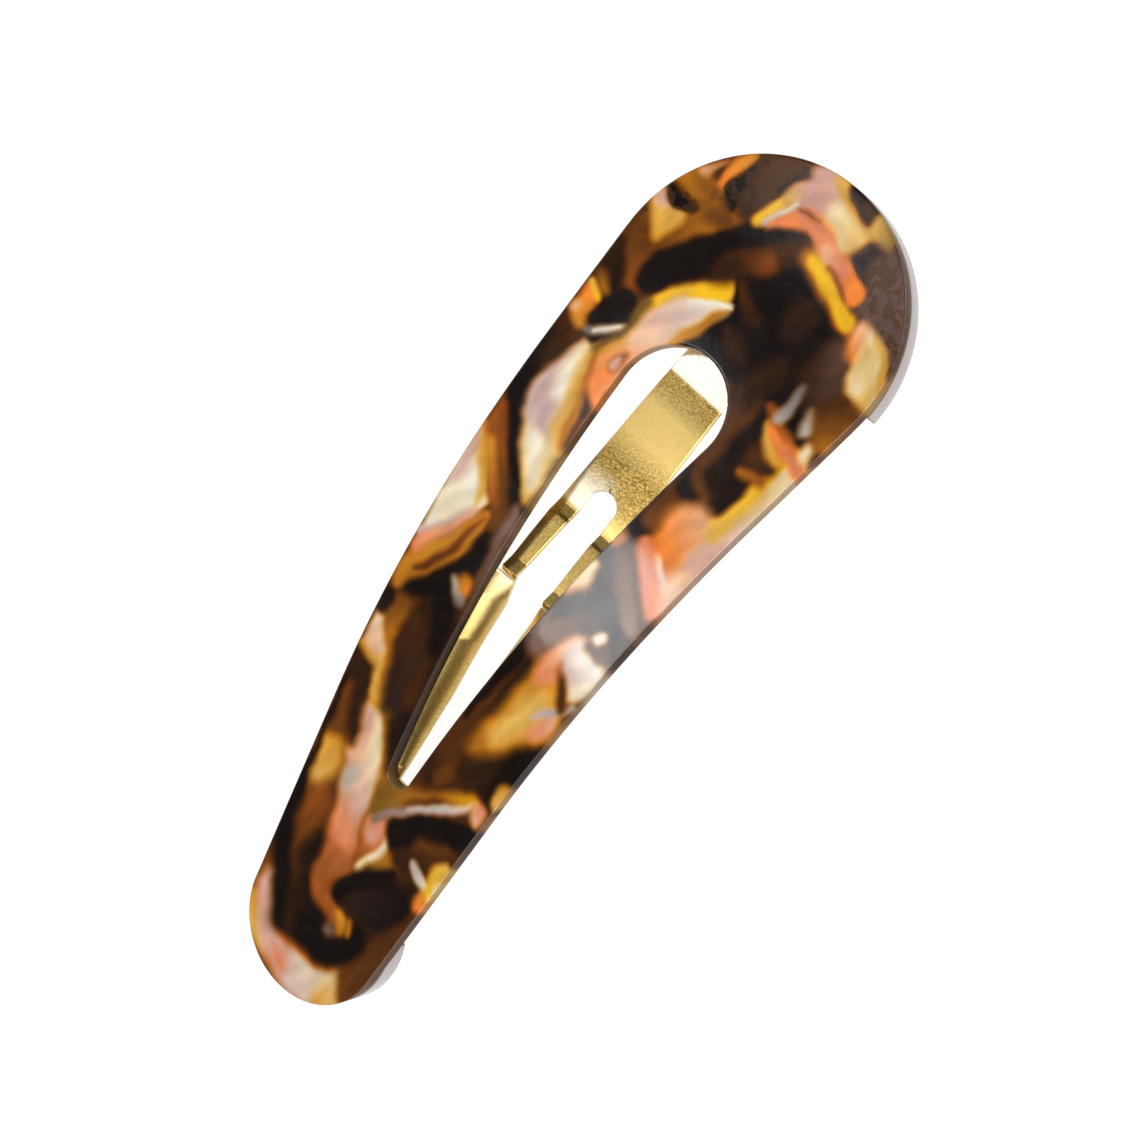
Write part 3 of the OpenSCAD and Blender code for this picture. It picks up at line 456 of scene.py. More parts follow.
    ("olive", "olive", 0.5, (60.4, 8, 62.2, 7.3, 64, 6.8, 65.8, 6.8, 66.6, 7.2, 65.8, 7.5, 64, 7, 62.5,
     7.2, 61, 8)),
    ("honey", "orange", 0.5, (61, 10.2, 61.5, 11.2, 62.5, 11.9, 64.2, 12.1, 64, 11.2, 63.5, 10.6, 62.2,
     10.5, 61.5, 10.2)),
    ("yellow", "gold", 0.25, (63.58, 10.57, 64.25, 12.12, 64.6, 12.05, 64.38, 11.2, 63.92, 10.5)),
    ("peach", "peach", 0.4, (61.8, 11.9, 62.3, 11.9, 62.6, 11.6, 62, 11.4)),
    ("amber", "brown", 0.6, (64.5, 10.6, 65, 11.9, 65.9, 12.1, 64.9, 10.5)),
    ("black", "black", 0.45, (66.5, 8.4, 67, 9.2, 68.2, 9.6, 70, 9.2, 71.5, 9, 73, 7.8, 74, 6.8, 75.2,
     5.8, 76.5, 4.5, 77.2, 3.2, 78.5, 2, 79.3, 1.5, 78.6, 0.3, 77.5, 0.9, 76.5, 1.6, 75.5, 2.9, 74.5, 3.9,
     73.5, 4.6, 72.5, 5, 71.5, 4.7, 70.5, 5.2, 69, 6.5, 67.5, 7.2)),
    ("dark", "umber", 0.8, (71.3, 4.8, 73, 4.6, 74.4, 3.6, 75.2, 2.7, 76.4, 1.8, 77.6, 0.9, 78.5, 0.2, 78,
     -0.6, 76.6, 0, 75.2, 0.9, 74, 1.6, 72.6, 2.6, 71.2, 3.6)),
    ("umber", "chestnut", 0.9, (73.6, 3.5, 74.5, 2.8, 75.4, 1.4, 74.7, 1.1, 74, 2)),
    ("black", "black", 0.2, (76.4, 4.4, 77.2, 3.3, 78.5, 2, 79.3, 1.5, 79, 0.9, 77.9, 1.6, 76.6, 2.7)),
    ("brown", "amber", 0.5, (70.1, 10, 72, 9.8, 73.5, 8.8, 74.2, 7.8, 74, 6.8, 73, 7.8, 71.5, 8.8, 70.2,
     9.1)),
    ("honey", "gold", 0.5, (70.2, 10.2, 71.2, 11.5, 72.5, 12.6, 73.8, 12.7, 73.3, 11.2, 73.3, 9.4, 72,
     9.9, 71, 10.1)),
    ("peach", "pink", 0.4, (72.4, 12.5, 73.8, 12.8, 73.7, 12, 73.2, 11.1, 72.8, 11.8)),
    ("black", "black", 0.3, (73.38, 11.62, 73.88, 12.38, 74.5, 12.5, 74.9, 11.25, 74.9, 10, 74.38, 8.95,
     73.88, 9.38, 73.38, 10.25)),
    ("amber", "brown", 0.7, (75, 12.2, 76, 12, 76.9, 11.2, 76.9, 9, 76.1, 7, 75.5, 6.1, 74.8, 6.5, 74,
     8.2, 74.8, 9.2, 75, 10.2)),
    ("peach", "chestnut", 0.4, (76.8, 11.4, 77.8, 10.9, 79.3, 9.6, 78.8, 9.4, 77.5, 10.2, 76.9, 10.5)),
    ("umber", "umber", 0.4, (77.2, 10.2, 79, 9.4, 78.8, 9.2, 77.2, 9.3)),
    ("orange", "honey", 0.35, (76.9, 9.2, 79, 9.6, 79.8, 9.3, 81, 8, 79.5, 8.3, 78, 8.8, 76.9, 8.7)),
    ("black", "coal", 0.3, (75.95, 6.88, 77, 8.75, 79, 8.38, 81.3, 7.45, 81.12, 6.95, 79, 7.4, 77.5, 7.25,
     76.5, 6.7)),
    ("dark", "brown", 0.5, (75.8, 5.9, 77.5, 6.8, 79, 7.3, 81.1, 7, 82.2, 5.5, 82.8, 4.2, 82.1, 3.3, 81,
     3.9, 79, 4.6, 77.2, 5.3)),
    ("black", "coal", 0.4, (79, 4.8, 80.5, 4.9, 81.8, 4.4, 82.6, 4.7, 82.8, 4.1, 82.1, 3.2, 81, 3.9)),
    ("yellow", "gold", 0.35, (76.2, 4.9, 77.6, 4.9, 79, 4.6, 80.2, 4.1, 81, 3.4, 80, 3.4, 78.5, 3.8, 77,
     4.1)),
    ("olive", "gold", 0.4, (79.5, 4.3, 81, 3.9, 82.1, 3.2, 81.1, 2.9, 79.8, 3.4)),
    ("salmon", "orange", 0.4, (76.8, 3.8, 78, 3.8, 79.3, 3.3, 79.8, 2, 79.3, 0.4, 79, 1, 78.6, 1.8, 77.8,
     2.8)),
    ("rose", "pink", 0.7, (79.5, 3.4, 81, 4, 82.2, 3.2, 83, 4.1, 83.6, 3.2, 84, 1.8, 83, 1.4, 82.8, 0,
     82.2, -1.1, 80.5, -2.2, 79.2, -2.5, 79.2, 0, 79.8, 1.5)),
    ("gold", "pink", 0.5, (79.6, 4.3, 80.4, 4.2, 81.2, 3.6, 81.6, 3, 80.4, 3.1, 79.8, 3.6)),
    ("cream", "gold", 0.9, (80.6, 0.5, 82.6, 0.4, 82.6, -1, 82.1, -3, 81.4, -3.7, 80.2, -3.4, 79.3, -2.6,
     79.8, -1)),
    ("salmon", "orange", 0.7, (79.2, 1.5, 79.9, 2.2, 80.3, 0.5, 79.9, -1, 79.1, -1)),
    ("chestnut", "chestnut", 0.15, (79.45, 2.95, 80, 2, 80.25, 0.38, 80.05, 0.38, 79.75, 1.88)),
    ("mist", "milk", 0.18, (76.45, 4.25, 78, 4, 79.5, 3.3, 80.12, 2.85, 79.3, 3.15, 77.88, 3.72)),
    ("gold", "honey", 0.4, (83.5, 2.1, 84, 1.5, 84, 0.6, 83, -0.8, 82.4, -2.6, 82.1, -1.8, 82.7, 0.2)),
    ("black", "umber", 0.35, (83.1, -0.1, 84, 0.6, 84, -1.5, 83.8, -3.1, 82.8, -3.1, 82.3, -2.4)),
    ("coal", "black", 0.5, (79.4, -3.5, 80.5, -4, 81.8, -3.8, 81.8, -5, 80.5, -6, 78.5, -6.8, 78, -6.6,
     78.8, -5)),
    ("gold", "olive", 0.5, (82, -3.2, 84, -3, 83.5, -4.5, 82.6, -5.9, 81.8, -5.6, 81.9, -4)),
    ("smoke", "smoke", 0.7, (76.4, -6.8, 78.5, -6.6, 80, -5.4, 81.8, -5.6, 82.6, -6.4, 82.2, -7.5, 80,
     -10, 77.2, -11.8, 75, -12.5, 76.5, -9.8, 76.4, -8)),
    ("amber", "chestnut", 0.55, (76.8, -0.2, 78.2, -0.4, 77.8, -2, 76, -6, 75.4, -7.7, 74.5, -7.6, 75.3,
     -5.2, 76.2, -2.5)),
    ("salmon", "orange", 0.3, (78.4, -0.2, 79.7, 1.2, 80, -0.2, 79.2, -2.6, 79, -4, 78.3, -5.8, 78, -6.5,
     76.8, -6.5, 76.9, -5, 77.5, -3.7, 77.8, -2)),
    ("peach", "salmon", 0.6, (78.2, -1.4, 79.2, -1, 79.1, -3, 78.4, -4.2, 77.6, -4)),
    ("orange", "orange", 0.4, (77.2, -5.2, 78.8, -4, 78.3, -5.8, 78, -6.4, 76.9, -6.4)),
    ("yellow", "yellow", 0.3, (76.9, -0.9, 77.9, -0.8, 77.7, -2.6, 77.3, -3.7, 76.8, -4.9, 76.3, -6.1, 76,
     -7.4, 74.6, -7.4, 75.4, -5.6, 76.1, -4, 76.7, -2.2)),
    ("chestnut", "chestnut", 0.2, (77.8, -2.4, 78, -2.6, 77.3, -4.5, 76.7, -5.7, 76.5, -5.6, 77.1, -4.1)),
    ("orange", "peach", 0.6, (73.4, -9.4, 74.5, -8, 76, -7.7, 76.3, -8.5, 75.8, -9.2, 74, -9.7)),
    ("gold", "cream", 0.6, (71, -11, 73, -10, 75.8, -9.2, 76.3, -8.9, 76, -10, 75, -11.3, 73.5, -12.6,
     72.5, -13.2, 71, -13.1)),
    ("cream", "gold", 0.7, (71.5, -10.8, 74, -9.9, 75.5, -9.4, 74, -10.8, 72, -11.6)),
    ("honey", "gold", 0.25, (72.45, -13.2, 74, -12.25, 75.25, -11, 76.2, -9.38, 76.25, -10, 75.25, -11.55,
     73.75, -12.85, 72.8, -13.35)),
    ("black", "black", 0.5, (57.2, -4.9, 59.1, -4.9, 58.8, -5.8, 57.8, -7.2, 57.1, -8.6, 56.6, -7.2, 56.7,
     -5.8)),
    ("umber", "brown", 0.5, (58.7, -5.2, 59.1, -5.5, 58.3, -6.8, 57.8, -8.1, 57.5, -7.2)),
    ("orange", "peach", 1, (52.5, -6.8, 55.2, -6.4, 56.5, -7.2, 57, -8.8, 56, -9.9, 52.5, -9.8)),
    ("pink", "cream", 0.6, (52.5, -9.8, 55.5, -10.4, 61.5, -10.7, 65, -10.7, 64.8, -12.6, 52.5, -12.2)),
    ("gold", "cream", 0.9, (58, -11, 61.5, -10.8, 65, -10.9, 64.7, -11.9, 61.5, -11.7)),
    ("gold", "yellow", 0.5, (55.2, -10, 56.6, -9.3, 57.3, -10, 59, -10.1, 61, -10.2, 63.2, -10.4, 65,
     -10.4, 65, -10.9, 61.5, -10.8, 58, -10.8, 55.5, -10.7)),
    ("amber", "chestnut", 0.5, (61, -8.2, 61.5, -8.5, 62, -9.5, 61.8, -10.8, 61.1, -10.5, 61.2, -9.2)),
    ("umber", "dark", 0.6, (62, -8, 64, -7.7, 64, -9.2, 63.3, -10.6, 62.2, -10.7, 62.1, -9.5)),
    ("honey", "gold", 0.5, (63.2, -10.7, 63.8, -8.5, 65, -7.6, 65.8, -7.4, 65, -9, 64.3, -10.6)),
    ("chestnut", "orange", 0.4, (66, -7.2, 66.8, -6.2, 66.4, -7.8, 65.4, -10.5, 64.6, -12.6, 63.5, -12.6,
     64.2, -10.8, 64.8, -8.8)),
    ("orange", "salmon", 0.3, (64.9, -8, 65.4, -7.8, 65.2, -9.2, 64.8, -11, 64.3, -12.4, 63.8, -12.4, 64.3,
     -10.4)),
    ("mist", "slate", 0.4, (65.8, -7.6, 69, -7.6, 69.7, -7.9, 68, -8.3, 66, -8.3)),
    ("mist", "mist", 0.5, (66.4, -9.9, 68.2, -9.6, 68.8, -9.9, 67, -10.8, 66.5, -10.6)),
    ("cream", "cream", 0.5, (64.6, -11.6, 66, -11.2, 66.5, -11.8, 65.5, -12.1)),
    ("amber", "umber", 0.6, (66.5, -12.6, 67, -11.2, 68, -10.2, 69, -9.9, 71, -10.8, 71, -13.2, 67.5,
     -13.1)),
)


def wander(along, across):
    """Shifts places a little, so that outlines wander as pressed flakes do."""
    shifted = along + SWAY * np.sin(1.9 * across + 1.1 * np.sin(1.1 * along))
    shifted += RIPPLE * np.sin(3.9 * across - 2.7 * along)
    swayed = across + SWAY * np.sin(1.7 * along + 1.3 * np.sin(1.2 * across))
    swayed += RIPPLE * np.sin(3.7 * along + 3.1 * across)
    return shifted, swayed


def round_off(corners):
    """Cuts the corners of an outline several times, each time less."""
    for reach in CORNER_CUTS:
        cut = []
        befores, afters = np.roll(corners, 1, axis=0), np.roll(corners, -1, axis=0)
        for before, corner, after in zip(befores, corners, afters):
            for other in (before, after):
                share = min(reach / max(np.hypot(*(other - corner)), 1e-9), CUT_LIMIT)
                cut.append(corner + (other - corner) * share)
        corners = np.array(cut)
    return corners


def distance_out(along, across, corners):
    """How far places lie outside a closed outline, negative inside it."""
    nearest = np.full(len(along), np.inf)
    inside = np.zeros(len(along), dtype=bool)
    for (x, y), (next_x, next_y) in zip(corners, np.roll(corners, -1, axis=0)):
        run_x, run_y = next_x - x, next_y - y
        share = ((along - x) * run_x + (across - y) * run_y) / max(run_x ** 2 + run_y ** 2, 1e-12)
        share = np.clip(share, 0, 1)
        nearest = np.minimum(nearest, (along - x - share * run_x) ** 2 + (across - y - share * run_y) ** 2)
        crosses = (y > across) != (next_y > across)
        if run_y:
            inside ^= crosses & (along < run_x * (across - y) / run_y + x)
    return np.where(inside, -1, 1) * np.sqrt(nearest)


def flake_tint(along, across, corners, first, last):
    """A flake's streaked colour, which changes from its first corner to the one halfway round."""
    start = corners[0]
    run = corners[len(corners) // 2] - start
    size = np.hypot(*run)
    lean = run / size
    along, across = along - start[0], across - start[1]
    reach = along * lean[0] + across * lean[1]
    side = across * lean[0] - along * lean[1]
    share = np.clip(reach / size, 0, 1)[:, None]
    tint = np.array(first) * (1 - share) + np.array(last) * share
    streak = np.sin(2.7 * side + 1.4 * np.sin(0.8 * reach + start[0])) * np.sin(1.3 * side + 0.5 * reach)
    streak = streak[:, None]
    return tint * (1 + STREAK_SHARE * streak) + np.array(STREAK_STEPS) * streak


def marble(along, across):
    """Chart colours of the marbled sheet at places given in millimetres."""
    along, across = wander(along, across)
    shade = np.empty((len(along), 3))
    shade[:] = PALETTE[GROUND]
    for first, last, soft, outline in FLAKES:
        corners = np.array(outline).reshape(-1, 2)
        edge = round_off(corners)
        blur = EDGE_WIDTH + EDGE_SPREAD * soft
        low, high = edge.min(axis=0) - blur, edge.max(axis=0) + blur
        near = (along > low[0]) & (along < high[0]) & (across > low[1]) & (across < high[1])
        x, y = along[near], across[near]
        cover = np.clip(EDGE_OUTSIDE - distance_out(x, y, edge) / blur, 0, 1)
        cover = (cover * cover * (3 - 2 * cover))[:, None]
        tint = flake_tint(x, y, corners, PALETTE[first], PALETTE[last])
        under = shade[near]
        contrast = np.abs((tint - under) @ LUMA)[:, None] / CHART_TOP
        shade[near] = under + (tint - under) * cover + np.array(GLOW) * contrast * cover * (1 - cover)
    return np.clip(shade, 0, CHART_TOP)


def paint_flakes(mesh, flat, sheet):
    """Gives each point of the flat sheet the colour of the flakes that it lies in, with painted shade on
    the cut wall and a painted highlight along the rim.
    """
    along = flat[:, 0] / MM
    across = flat[:, 1] / MM
    depth = -flat[:, 2] / MM
    chart = marble(along + SLIDE_ALONG * depth, across + SLIDE_ACROSS * depth) / CHART_TOP
    # Painted shade over the cut wall, fading out towards both faces
    wall = 1 - np.abs(2 * depth / (sheet / MM) - 1) ** WALL_ONSET
    chart *= (1 - WALL_SHADE * wall)[:, None]
    # Painted highlight along the tumbled rim, just under the upper face
    rim = np.clip(1 - np.abs(depth - RIM_DEPTH) / RIM_REACH, 0, 1)[:, None] * RIM_HIGHLIGHT
    chart = chart * (1 - rim) + np.array(RIM) / CHART_TOP * rim
    values = np.ones((len(flat), 4))
    values[:, :3] = linear(chart)
    attribute = mesh.color_attributes.new("flakes", "FLOAT_COLOR", "POINT")
    attribute.data.foreach_set("color", values.ravel())


# Modelling helpers

# What edit mode selects
CORNERS, EDGES, FACES = (True, False, False), (False, True, False), (False, False, True)
# Corners of a CAD mesh that lie closer than this are one, and faces that lean less than this are joined
MERGE_REACH = 0.002 * MM
FLAT_LEAN = math.radians(3)


def deselect():
    """Object mode, with nothing selected."""
    if bpy.context.object and bpy.context.object.mode != "OBJECT":
        bpy.ops.object.mode_set(mode="OBJECT")
    bpy.ops.object.select_all(action="DESELECT")


def activate(piece):
    """Selects one piece and nothing else."""
    deselect()
    piece.select_set(True)
    bpy.context.view_layer.objects.active = piece


@contextmanager
def editing(piece, everything=False):
    """Edit mode on a piece, with everything selected or the selection as it was."""
    activate(piece)
    bpy.ops.object.mode_set(mode="EDIT")
    if everything:
        bpy.ops.mesh.select_all(action="SELECT")
    yield
    bpy.ops.object.mode_set(mode="OBJECT")


def select_nothing(mesh):
    """Deselects all corners, edges and faces of a mesh."""
    for parts in (mesh.vertices, mesh.edges, mesh.polygons):
        parts.foreach_set("select", [False] * len(parts))


def apply_modifier(piece, kind, **settings):
    """Adds a modifier with these settings and applies it."""
    activate(piece)
    modifier = piece.modifiers.new(kind.title(), kind)
    for name, value in settings.items():
        setattr(modifier, name, value)
    bpy.ops.object.modifier_apply(modifier=modifier.name)


def round_edges(piece, width, segments, degrees, **settings):
    """Rounds the edges that are sharper than an angle in degrees."""
    apply_modifier(piece, "BEVEL", width=width, segments=segments, limit_method="ANGLE",
                   angle_limit=math.radians(degrees), **settings)


def copy_of(node, name):
    """A merged copy of a CAD node's mesh, with its flat faces joined."""
    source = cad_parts[node]
    piece = bpy.data.objects.new(name, source.data.copy())
    bpy.context.scene.collection.objects.link(piece)
    piece.data.materials.clear()
    with editing(piece, everything=True):
        bpy.ops.mesh.remove_doubles(threshold=MERGE_REACH)
        bpy.ops.mesh.tris_convert_to_quads(face_threshold=FLAT_LEAN, shape_threshold=math.pi)
    return piece


def smooth(piece, degrees):
    """Shades a piece smooth where its faces meet at less than an angle in degrees."""
    activate(piece)
    bpy.ops.object.shade_smooth_by_angle(angle=math.radians(degrees))


# Shader maths

class Wire:
    """A socket's value, for writing shader maths as expressions."""

    def __init__(self, recipe, socket):
        self.recipe = recipe
        self.socket = socket

    def __add__(self, other):
        return self.recipe.maths("ADD", self, other)

    def __radd__(self, other):
        return self.recipe.maths("ADD", other, self)

    def __sub__(self, other):
        return self.recipe.maths("SUBTRACT", self, other)

    def __rsub__(self, other):
        return self.recipe.maths("SUBTRACT", other, self)

    def __mul__(self, other):
        return self.recipe.maths("MULTIPLY", self, other)

    def __rmul__(self, other):
        return self.recipe.maths("MULTIPLY", other, self)


class Recipe:
    """A material's node tree, with one method that adds any node."""

    def __init__(self, name):
        self.material = bpy.data.materials.new(name)
        self.material.use_nodes = True
        self.tree = self.material.node_tree
        self.tree.nodes.clear()

    def node(self, kind, settings=None, inputs=None):
        """Adds a node of a kind, sets it up, and gives its outputs."""
        made = self.tree.nodes.new(kind)
        for name, value in (settings or {}).items():
            if name == "stops":
                self.set_stops(made.color_ramp, value)
            else:
                setattr(made, name, value)
        for name, value in (inputs or {}).items():
            if isinstance(value, Wire):
                self.tree.links.new(value.socket, made.inputs[name])
            else:
                made.inputs[name].default_value = value
        return [Wire(self, socket) for socket in made.outputs]

    @staticmethod
    def set_stops(ramp, stops):
        """Gives a grey ramp a value at each of some places between 0 and 1."""
        while len(ramp.elements) < len(stops):
            ramp.elements.new(1)
        for element, (place, value) in zip(ramp.elements, stops):
            element.position = place
            element.color = (value, value, value, 1)

    def maths(self, operation, first, second):
        return self.node("ShaderNodeMath", {"operation": operation}, {0: first, 1: second})[0]

    def vector_maths(self, operation, first, second):
        return self.node("ShaderNodeVectorMath", {"operation": operation}, {0: first, 1: second})[0]

    def place(self):
        """Places on the clip, which Texture Coordinate gives at its fourth output."""
        return self.node("ShaderNodeTexCoord")[3]

    def axes(self, place):
        """How far a place lies along the clip, across it and up."""
        return self.node("ShaderNodeSeparateXYZ", None, {"Vector": place})

    def noise(self, size, detail=2.0, roughness=0.5, distortion=0.0):
        """Grey noise; its size is that of a grain in millimetres, or one for each axis."""
        sizes = size if isinstance(size, tuple) else (size, size, size)
        grains = self.vector_maths("MULTIPLY", self.place(), [1 / (side * MM) for side in sizes])
        return self.node("ShaderNodeTexNoise", {"noise_dimensions": "3D"}, {
            "Vector": grains, "Scale": 1.0,
            "Detail": detail, "Roughness": roughness, "Distortion": distortion})[0]

    def step(self, value, low, high):
        """Rises from nothing to one between two values."""
        return self.node("ShaderNodeMapRange", None, {"Value": value, "From Min": low, "From Max": high})[0]

    def mix(self, factor, first, second, blend="MIX"):
        """Mixes two colours, by the inputs and the output that Mix keeps for colours."""
        return self.node("ShaderNodeMix", {"data_type": "RGBA", "blend_type": blend}, {
            0: factor, 6: first, 7: second})[2]

    def bump(self, depth, height):
        """Bumps of a depth in millimetres for each whole step of height."""
        return self.node("ShaderNodeBump", None, {
            "Strength": 1.0, "Distance": depth * MM, "Height": height})[0]

    def finish(self, sockets):
        """The material, as a Principled shader with these values."""
        shader = self.node("ShaderNodeBsdfPrincipled", None, sockets)[0]
        self.node("ShaderNodeOutputMaterial", None, {"Surface": shader})
        return self.material


# Refractive index of acetate
ACETATE_IOR = 1.48
# Centre of the head's round, and the reach over which the painted mottle on its rim sets in: darker patches
# that stand in for the mottled reflection there
HEAD_CENTRE = (27.4 * MM, 0, 4.9 * MM)
RIM_STARTS, RIM_FULL = 9.0 * MM, 10.6 * MM
# They also set in along the clip, from this far before the centre to this far past it
RIM_FADE = 2.0 * MM
# The painted mottle's darker colour on black and on brown flakes
BLACK_REFLECTION_MOTTLE = (0.060, 0.028, 0.016, 1)
BROWN_REFLECTION_MOTTLE = (0.060, 0.023, 0.004, 1)


def head_rim(recipe):
    """One along the outer rim of the head, falling to nothing inside it."""
    centre = recipe.vector_maths("SUBTRACT", recipe.place(), HEAD_CENTRE)
    reach = recipe.node("ShaderNodeVectorMath", {"operation": "LENGTH"}, {0: centre})[1]
    along = recipe.axes(centre)[0]
    return recipe.step(reach, RIM_STARTS, RIM_FULL) * recipe.step(along, -RIM_FADE, RIM_FADE)


def acetate_material(name, roughness, specular):
    """Marbled acetate, with a painted mottle on the flakes of the head's rim: darker brown patches that
    stand in for the mottled reflection there.
    """
    recipe = Recipe(name)
    flakes = recipe.node("ShaderNodeAttribute", {"attribute_name": "flakes"})[0]
    peel = recipe.noise(1.1, detail=2.0)
    cloud = recipe.noise(2.4, detail=4.0, roughness=0.6, distortion=0.6)
    fibre = recipe.noise((1.8, 0.25, 1.0), detail=3.0)
    fine = recipe.noise(0.12, detail=3.0)
    shade = 0.52 + 0.22 * cloud + 0.10 * fibre + 0.18 * fine
    base = recipe.mix(1.0, flakes, shade, "MULTIPLY")
    # Painted mottle of the reflection on the head's rim, in noisy patches
    patches = recipe.step(recipe.noise(0.9, detail=4.0, distortion=0.4), 0.48, 0.54)
    patches = patches * head_rim(recipe)
    black = 1 - recipe.step(flakes, 0.01, 0.03)
    brown = (1 - black) * (1 - recipe.step(flakes, 0.07, 0.16))
    base = recipe.mix(patches * black * 0.5, base, BLACK_REFLECTION_MOTTLE)
    base = recipe.mix(patches * brown * 0.9, base, BROWN_REFLECTION_MOTTLE)
    return recipe.finish({
        "Base Color": base, "Roughness": roughness + 0.10 * cloud, "IOR": ACETATE_IOR,
        "Specular IOR Level": specular, "Normal": recipe.bump(0.0045, peel + 0.2 * fine)})


def pad_material(name, light, dark):
    """Pale acetate with painted shade that darkens it towards the surface that the clip stands on."""
    recipe = Recipe(name)
    cloud = recipe.noise(3.0, detail=3.0)
    fine = recipe.noise(0.15, detail=2.0)
    height = recipe.axes(recipe.place())[2]
    # Painted shade near the floor, with a cloudy edge
    lift = recipe.step(height + 0.4 * MM * cloud, 0.1 * MM, 1.1 * MM)
    return recipe.finish({
        "Base Color": recipe.mix(lift, (*dark, 1), (*light, 1)), "Roughness": 0.10 + 0.2 * fine,
        "IOR": ACETATE_IOR, "Normal": recipe.bump(0.003, cloud + 0.1 * fine)})


def gilt_material(settings, name, tones, roughness):
    """Satin gilt, with stretches of painted highlight (pale), painted shade (deep) and creases between two
    places along the clip.
    """
    recipe = Recipe(name)
    along, across, _ = recipe.axes(recipe.place())
    first, last = tones["pale"][0][0], tones["pale"][-1][0]
    share = recipe.step(along, first * MM, last * MM)
    pale, deep, creased = [
        recipe.node("ShaderNodeValToRGB", {
            "stops": [((place - first) / (last - first), value) for place, value in tones[tone]]},
            {"Fac": share})[0]
        for tone in ("pale", "deep", "creased")]
    grain = recipe.noise(0.16, detail=3.0)
    dashes = recipe.noise((0.10, 0.26, 0.22), detail=3.0)
    dent = recipe.step(dashes, 0.36, 0.64)
    # Painted shade where the deep tone runs, broken up by dashes
    base = recipe.mix(deep * (0.5 + 0.5 * dent), (*settings.gilt, 1), (*settings.gilt_shade, 1))
    # Painted highlight on the bent tip all across, and on the plate only at its left corner beside the slot
    tip = recipe.step(along, 19 * MM, 20 * MM)
    left = recipe.step(across, -0.6 * MM, 0.8 * MM)
    base = recipe.mix(pale * recipe.maths("MAXIMUM", left, tip), base, (*settings.gilt_highlight, 1))
    return recipe.finish({
        "Base Color": base, "Metallic": 1.0, "Roughness": roughness + 0.14 * grain,
        "Normal": recipe.bump(0.006, 0.22 * grain + 0.45 * creased * dashes)})


# How much painted highlight (pale), painted shade (deep) and creasing the gilt has, from 0 to 1, at places
# along the clip in millimetres
TONGUE_TONES = {
    "pale": ((-1, 0), (7.1, 0), (7.5, 0.8), (8.8, 0.75), (10, 0.35), (11.2, 0), (12, 0),
             (20.5, 0), (20.75, 0.95), (28, 1)),
    "deep": ((-1, 0.6), (5.2, 0.6), (5.9, 1), (7.1, 0.6), (7.5, 0), (9.4, 0.9), (12.4, 1),
             (14.8, 0.15), (17.6, 0.1), (19.2, 0.8), (20.5, 1), (20.75, 0), (28, 0)),
    "creased": ((-1, 0.15), (5.9, 0.2), (6.4, 0.1), (8.6, 0.3), (10.2, 1), (12.6, 0.8), (14.8, 0.1),
                (17.6, 0.1), (19, 0.9), (20.5, 1), (20.75, 0.05), (28, 0.05)),
}
FRAME_TONES = {
    "pale": ((-41, 0), (-6, 0), (-2, 0.1), (0, 0.25), (41, 0.2)),
    "deep": ((-41, 0.5), (-20, 0.7), (-12, 0.6), (-6, 0.5), (-2.5, 0.35), (0, 0.4), (41, 0.3)),
    "creased": ((-41, 0.2), (-4, 0.1), (0, 0.3), (41, 0.2)),
}

# How dark the floor's cloud is, how much light the floor throws back, and how much it gives itself
FLOOR_CLOUD = 0.99
FLOOR_RETURN = 0.27
FLOOR_GLOW = 0.90
WORLD_GLOW = 0.10


def floor_material(settings):
    """A pale floor that is lit evenly from within, as a light table is."""
    recipe = Recipe("pale_floor")
    cloud = recipe.noise(40.0, detail=2.0)
    cloudy = [channel * FLOOR_CLOUD for channel in settings.floor]
    tint = recipe.mix(cloud, (*settings.floor, 1), (*cloudy, 1))
    base = recipe.mix(1.0, tint, (FLOOR_RETURN, FLOOR_RETURN, FLOOR_RETURN, 1), "MULTIPLY")
    return recipe.finish({
        "Base Color": base, "Roughness": 0.8, "Specular IOR Level": 0.0,
        "Emission Color": tint, "Emission Strength": FLOOR_GLOW})


# Operators

# Points round the cover's outline, rings of faces on its upper face, and cuts across its underside
ROUND_COUNT = 900
RING_COUNT = 72
UNDERSIDE_CUTS = 11
# The upright part of a face's normal is below these on the sheet's walls and on its underside
WALL_UPRIGHT = 0.3
UNDERSIDE_UPRIGHT = -0.9
# The part along the clip of a face's normal is above this on a pad's cut end
CUT_END_LEAN = 0.6
# Edge rounding of the pads, as a share of the cover's
PAD_ROUNDING = 0.6


